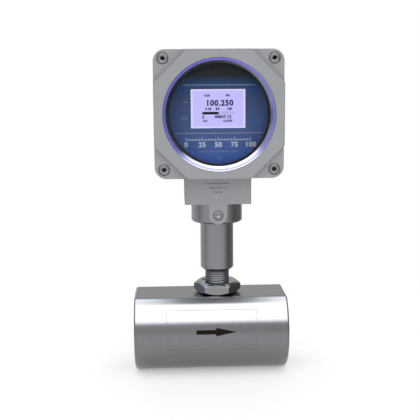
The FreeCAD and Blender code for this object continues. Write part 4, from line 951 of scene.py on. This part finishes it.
def floor_surface(tree, shader, path):
    """Matt white, with a glow that lights only what looks at it."""
    pale = (FLOOR_PALE, FLOOR_PALE, FLOOR_PALE)
    paler = (FLOOR_PALER, FLOOR_PALER, FLOOR_PALER)
    colour = ramp(tree, noise(tree, 0.002, detail=2.0), [(0.3, pale), (0.7, paler)])
    tree.links.new(colour, shader.inputs["Base Color"])
    shader.inputs["Roughness"].default_value = 0.9
    shader.inputs["Specular IOR Level"].default_value = 0.0
    seen = largest(tree, path["Is Camera Ray"], path["Is Transmission Ray"], path["Is Glossy Ray"])
    glow = tree.nodes.new("ShaderNodeEmission")
    tree.links.new(product(tree, seen, FLOOR_GLOW), glow.inputs["Strength"])
    surface = tree.nodes.new("ShaderNodeAddShader")
    tree.links.new(shader.outputs["BSDF"], surface.inputs[0])
    tree.links.new(glow.outputs["Emission"], surface.inputs[1])
    return surface.outputs["Shader"]


def floor_fade(tree, path):
    """0 on the floor under the bar and 1 where it has faded out, which is sooner in reflections."""
    reach = floor_reach(tree)
    faint = map_range(tree, smooth_step(tree, reach, 0.014, 0.036), 0, 1, 0, 0.5)
    edge = smooth_step(tree, reach, 0.06, 0.25)
    gone = product(tree, smooth_step(tree, reach, 0.03, 0.08), path["Is Glossy Ray"])
    return largest(tree, faint, edge, gone)


def make_floor():
    """White level floor that keeps the shadow close to the object and fades into the white room."""
    h = FLOOR_HALF
    mesh = mesh_from("floor", [(-h, -h, 0), (h, -h, 0), (h, h, 0), (-h, h, 0)], [(0, 1, 2, 3)])
    floor = bpy.data.objects.new("floor", mesh)
    bpy.context.scene.collection.objects.link(floor)
    floor.location.z = -FLOOR_DROP
    material, tree, shader = new_material("white_floor")
    path = tree.nodes.new("ShaderNodeLightPath").outputs
    far = tree.nodes.new("ShaderNodeBsdfTransparent")
    blend = tree.nodes.new("ShaderNodeMixShader")
    tree.links.new(floor_fade(tree, path), blend.inputs["Fac"])
    tree.links.new(floor_surface(tree, shader, path), blend.inputs[1])
    tree.links.new(far.outputs["BSDF"], blend.inputs[2])
    tree.links.new(blend.outputs["Shader"], tree.nodes["Material Output"].inputs["Surface"])
    mesh.materials.append(material)


def walls(tree, x, y, z):
    """The room's walls, as metal reflects them: pale left and middle, grey right, darker corners."""
    sides = ramp(tree, map_range(tree, x, -1, 1, 0, 1), SIDE_STOPS)
    room = mixed(tree, smooth_step(tree, y, 0.75, 0.95), sides, BACK_WALL)
    low = smooth_step(tree, z, 0.0, -0.22)
    front = smooth_step(tree, y, -0.3, -0.6)
    room = mixed(tree, product(tree, low, front, smooth_step(tree, x, 0.95, 0.6)), room, LOW_FRONT)
    low_right = product(tree, smooth_step(tree, x, 0.88, 0.96), smooth_step(tree, z, -0.05, -0.15))
    room = mixed(tree, low_right, room, LOW_RIGHT)
    right_back = product(tree, smooth_step(tree, x, 0.62, 0.80), smooth_step(tree, y, 0.35, 0.60))
    return mixed(tree, right_back, room, RIGHT_BACK)


def overhead(tree, x, y, z, room):
    """Adds what hangs above: the dark right ceiling, the bluish left sky and the soft box."""
    ceiling = product(tree, smooth_step(tree, z, 0.45, 0.65), smooth_step(tree, x, 0.10, 0.26))
    room = mixed(tree, ceiling, room, CEILING)
    above_back = smooth_step(tree, math_node(tree, "MULTIPLY_ADD", y, -0.85, z), -0.10, 0.0)
    above_front = smooth_step(tree, math_node(tree, "MULTIPLY_ADD", y, 0.51, z), -0.17, 0.10)
    above = product(tree, above_back, above_front)
    left_half = product(tree, smooth_step(tree, x, -0.9, -0.7), smooth_step(tree, x, 0.4, 0.2))
    room = mixed(tree, product(tree, above, left_half), room, LEFT_SKY)
    width = smooth_step(tree, math_node(tree, "ABSOLUTE", x), 0.80, 0.60)
    depth = product(tree, above_front, smooth_step(tree, y, 0.30, 0.10))
    return mixed(tree, product(tree, width, depth), room, SOFT_BOX)


def room_light(tree, y, z):
    """Light of the room on matt surfaces: most from the front, the back and above."""
    level = smooth_step(tree, math_node(tree, "ABSOLUTE", y), 0.2, 1.0)
    top = product(tree, smooth_step(tree, z, 0.3, 1.0), TOP_SHARE)
    return map_range(tree, largest(tree, level, top), 0, 1, AMBIENT, AMBIENT + FILL)


def make_world():
    """White studio. Metal reflects one room, matt surfaces are lit by another, and the camera sees white."""
    world = bpy.data.worlds.new("studio")
    bpy.context.scene.world = world
    world.use_nodes = True
    world.cycles.sampling_method = "NONE"  # so that each ray reads the colour for its own kind
    tree = world.node_tree
    place = tree.nodes.new("ShaderNodeTexCoord")
    split = tree.nodes.new("ShaderNodeSeparateXYZ")
    tree.links.new(place.outputs["Generated"], split.inputs["Vector"])
    x, y, z = (split.outputs[axis] for axis in "XYZ")
    room = overhead(tree, x, y, z, walls(tree, x, y, z))
    path = tree.nodes.new("ShaderNodeLightPath").outputs
    room = mixed(tree, path["Is Diffuse Ray"], room, room_light(tree, y, z))
    seen = largest(tree, path["Is Camera Ray"], path["Is Transmission Ray"])
    tree.links.new(mixed(tree, seen, room, WHITE), tree.nodes["Background"].inputs["Color"])


KEY_PLACE = (-1.2, -1.4, 0.7)
KEY_SIDE = 0.8
KEY_RADIANCE = 0.4
CAMERA_YAW, CAMERA_PITCH, CAMERA_ROLL = 0.04420, 0.16395, -0.00760
CAMERA_PLACE = (-0.02184, -0.50502, 0.18925)
CAMERA_LENS = 66.51             # millimetres, as the sensor's width
CAMERA_SENSOR = 36


def add_panel(name, location, target, width, height, radiance):
    """Soft rectangular lamp that faces a target."""
    light = bpy.data.lights.new(name, "AREA")
    light.shape = "RECTANGLE"
    light.size = width
    light.size_y = height
    light.energy = radiance * math.pi * width * height
    lamp = bpy.data.objects.new(name, light)
    bpy.context.scene.collection.objects.link(lamp)
    lamp.location = location
    lamp.rotation_euler = (Vector(target) - Vector(location)).to_track_quat("-Z", "Y").to_euler()
    return lamp


def make_lights():
    add_panel("key_left", KEY_PLACE, WINDOW, KEY_SIDE, KEY_SIDE, KEY_RADIANCE)


def make_camera():
    """Camera at the viewing angle of the photograph."""
    level = Vector((math.cos(CAMERA_YAW), -math.sin(CAMERA_YAW), 0))
    ahead = Vector((math.sin(CAMERA_YAW), math.cos(CAMERA_YAW), 0))
    forward = ahead * math.cos(CAMERA_PITCH) - Vector((0, 0, math.sin(CAMERA_PITCH)))
    upright = level.cross(forward)
    right = level * math.cos(CAMERA_ROLL) + upright * math.sin(CAMERA_ROLL)
    up = upright * math.cos(CAMERA_ROLL) - level * math.sin(CAMERA_ROLL)
    data = bpy.data.cameras.new("camera")
    data.lens = CAMERA_LENS
    data.sensor_width = CAMERA_SENSOR
    data.clip_start = 0.01
    camera = bpy.data.objects.new("camera", data)
    bpy.context.scene.collection.objects.link(camera)
    axes = Matrix((right, up, -forward)).transposed()
    camera.matrix_world = Matrix.Translation(CAMERA_PLACE) @ axes.to_4x4()
    bpy.context.scene.camera = camera


dress_nodes()
make_port_threads()
make_entry_thread()
make_barrel()
make_cover_screws()
make_tab_screw()
make_dial_print()
make_screen_print()
make_label_frame()
make_arrow()
make_nut_mark()
make_floor()
make_world()
make_lights()
make_camera()
bpy.context.scene.view_settings.view_transform = "Standard"
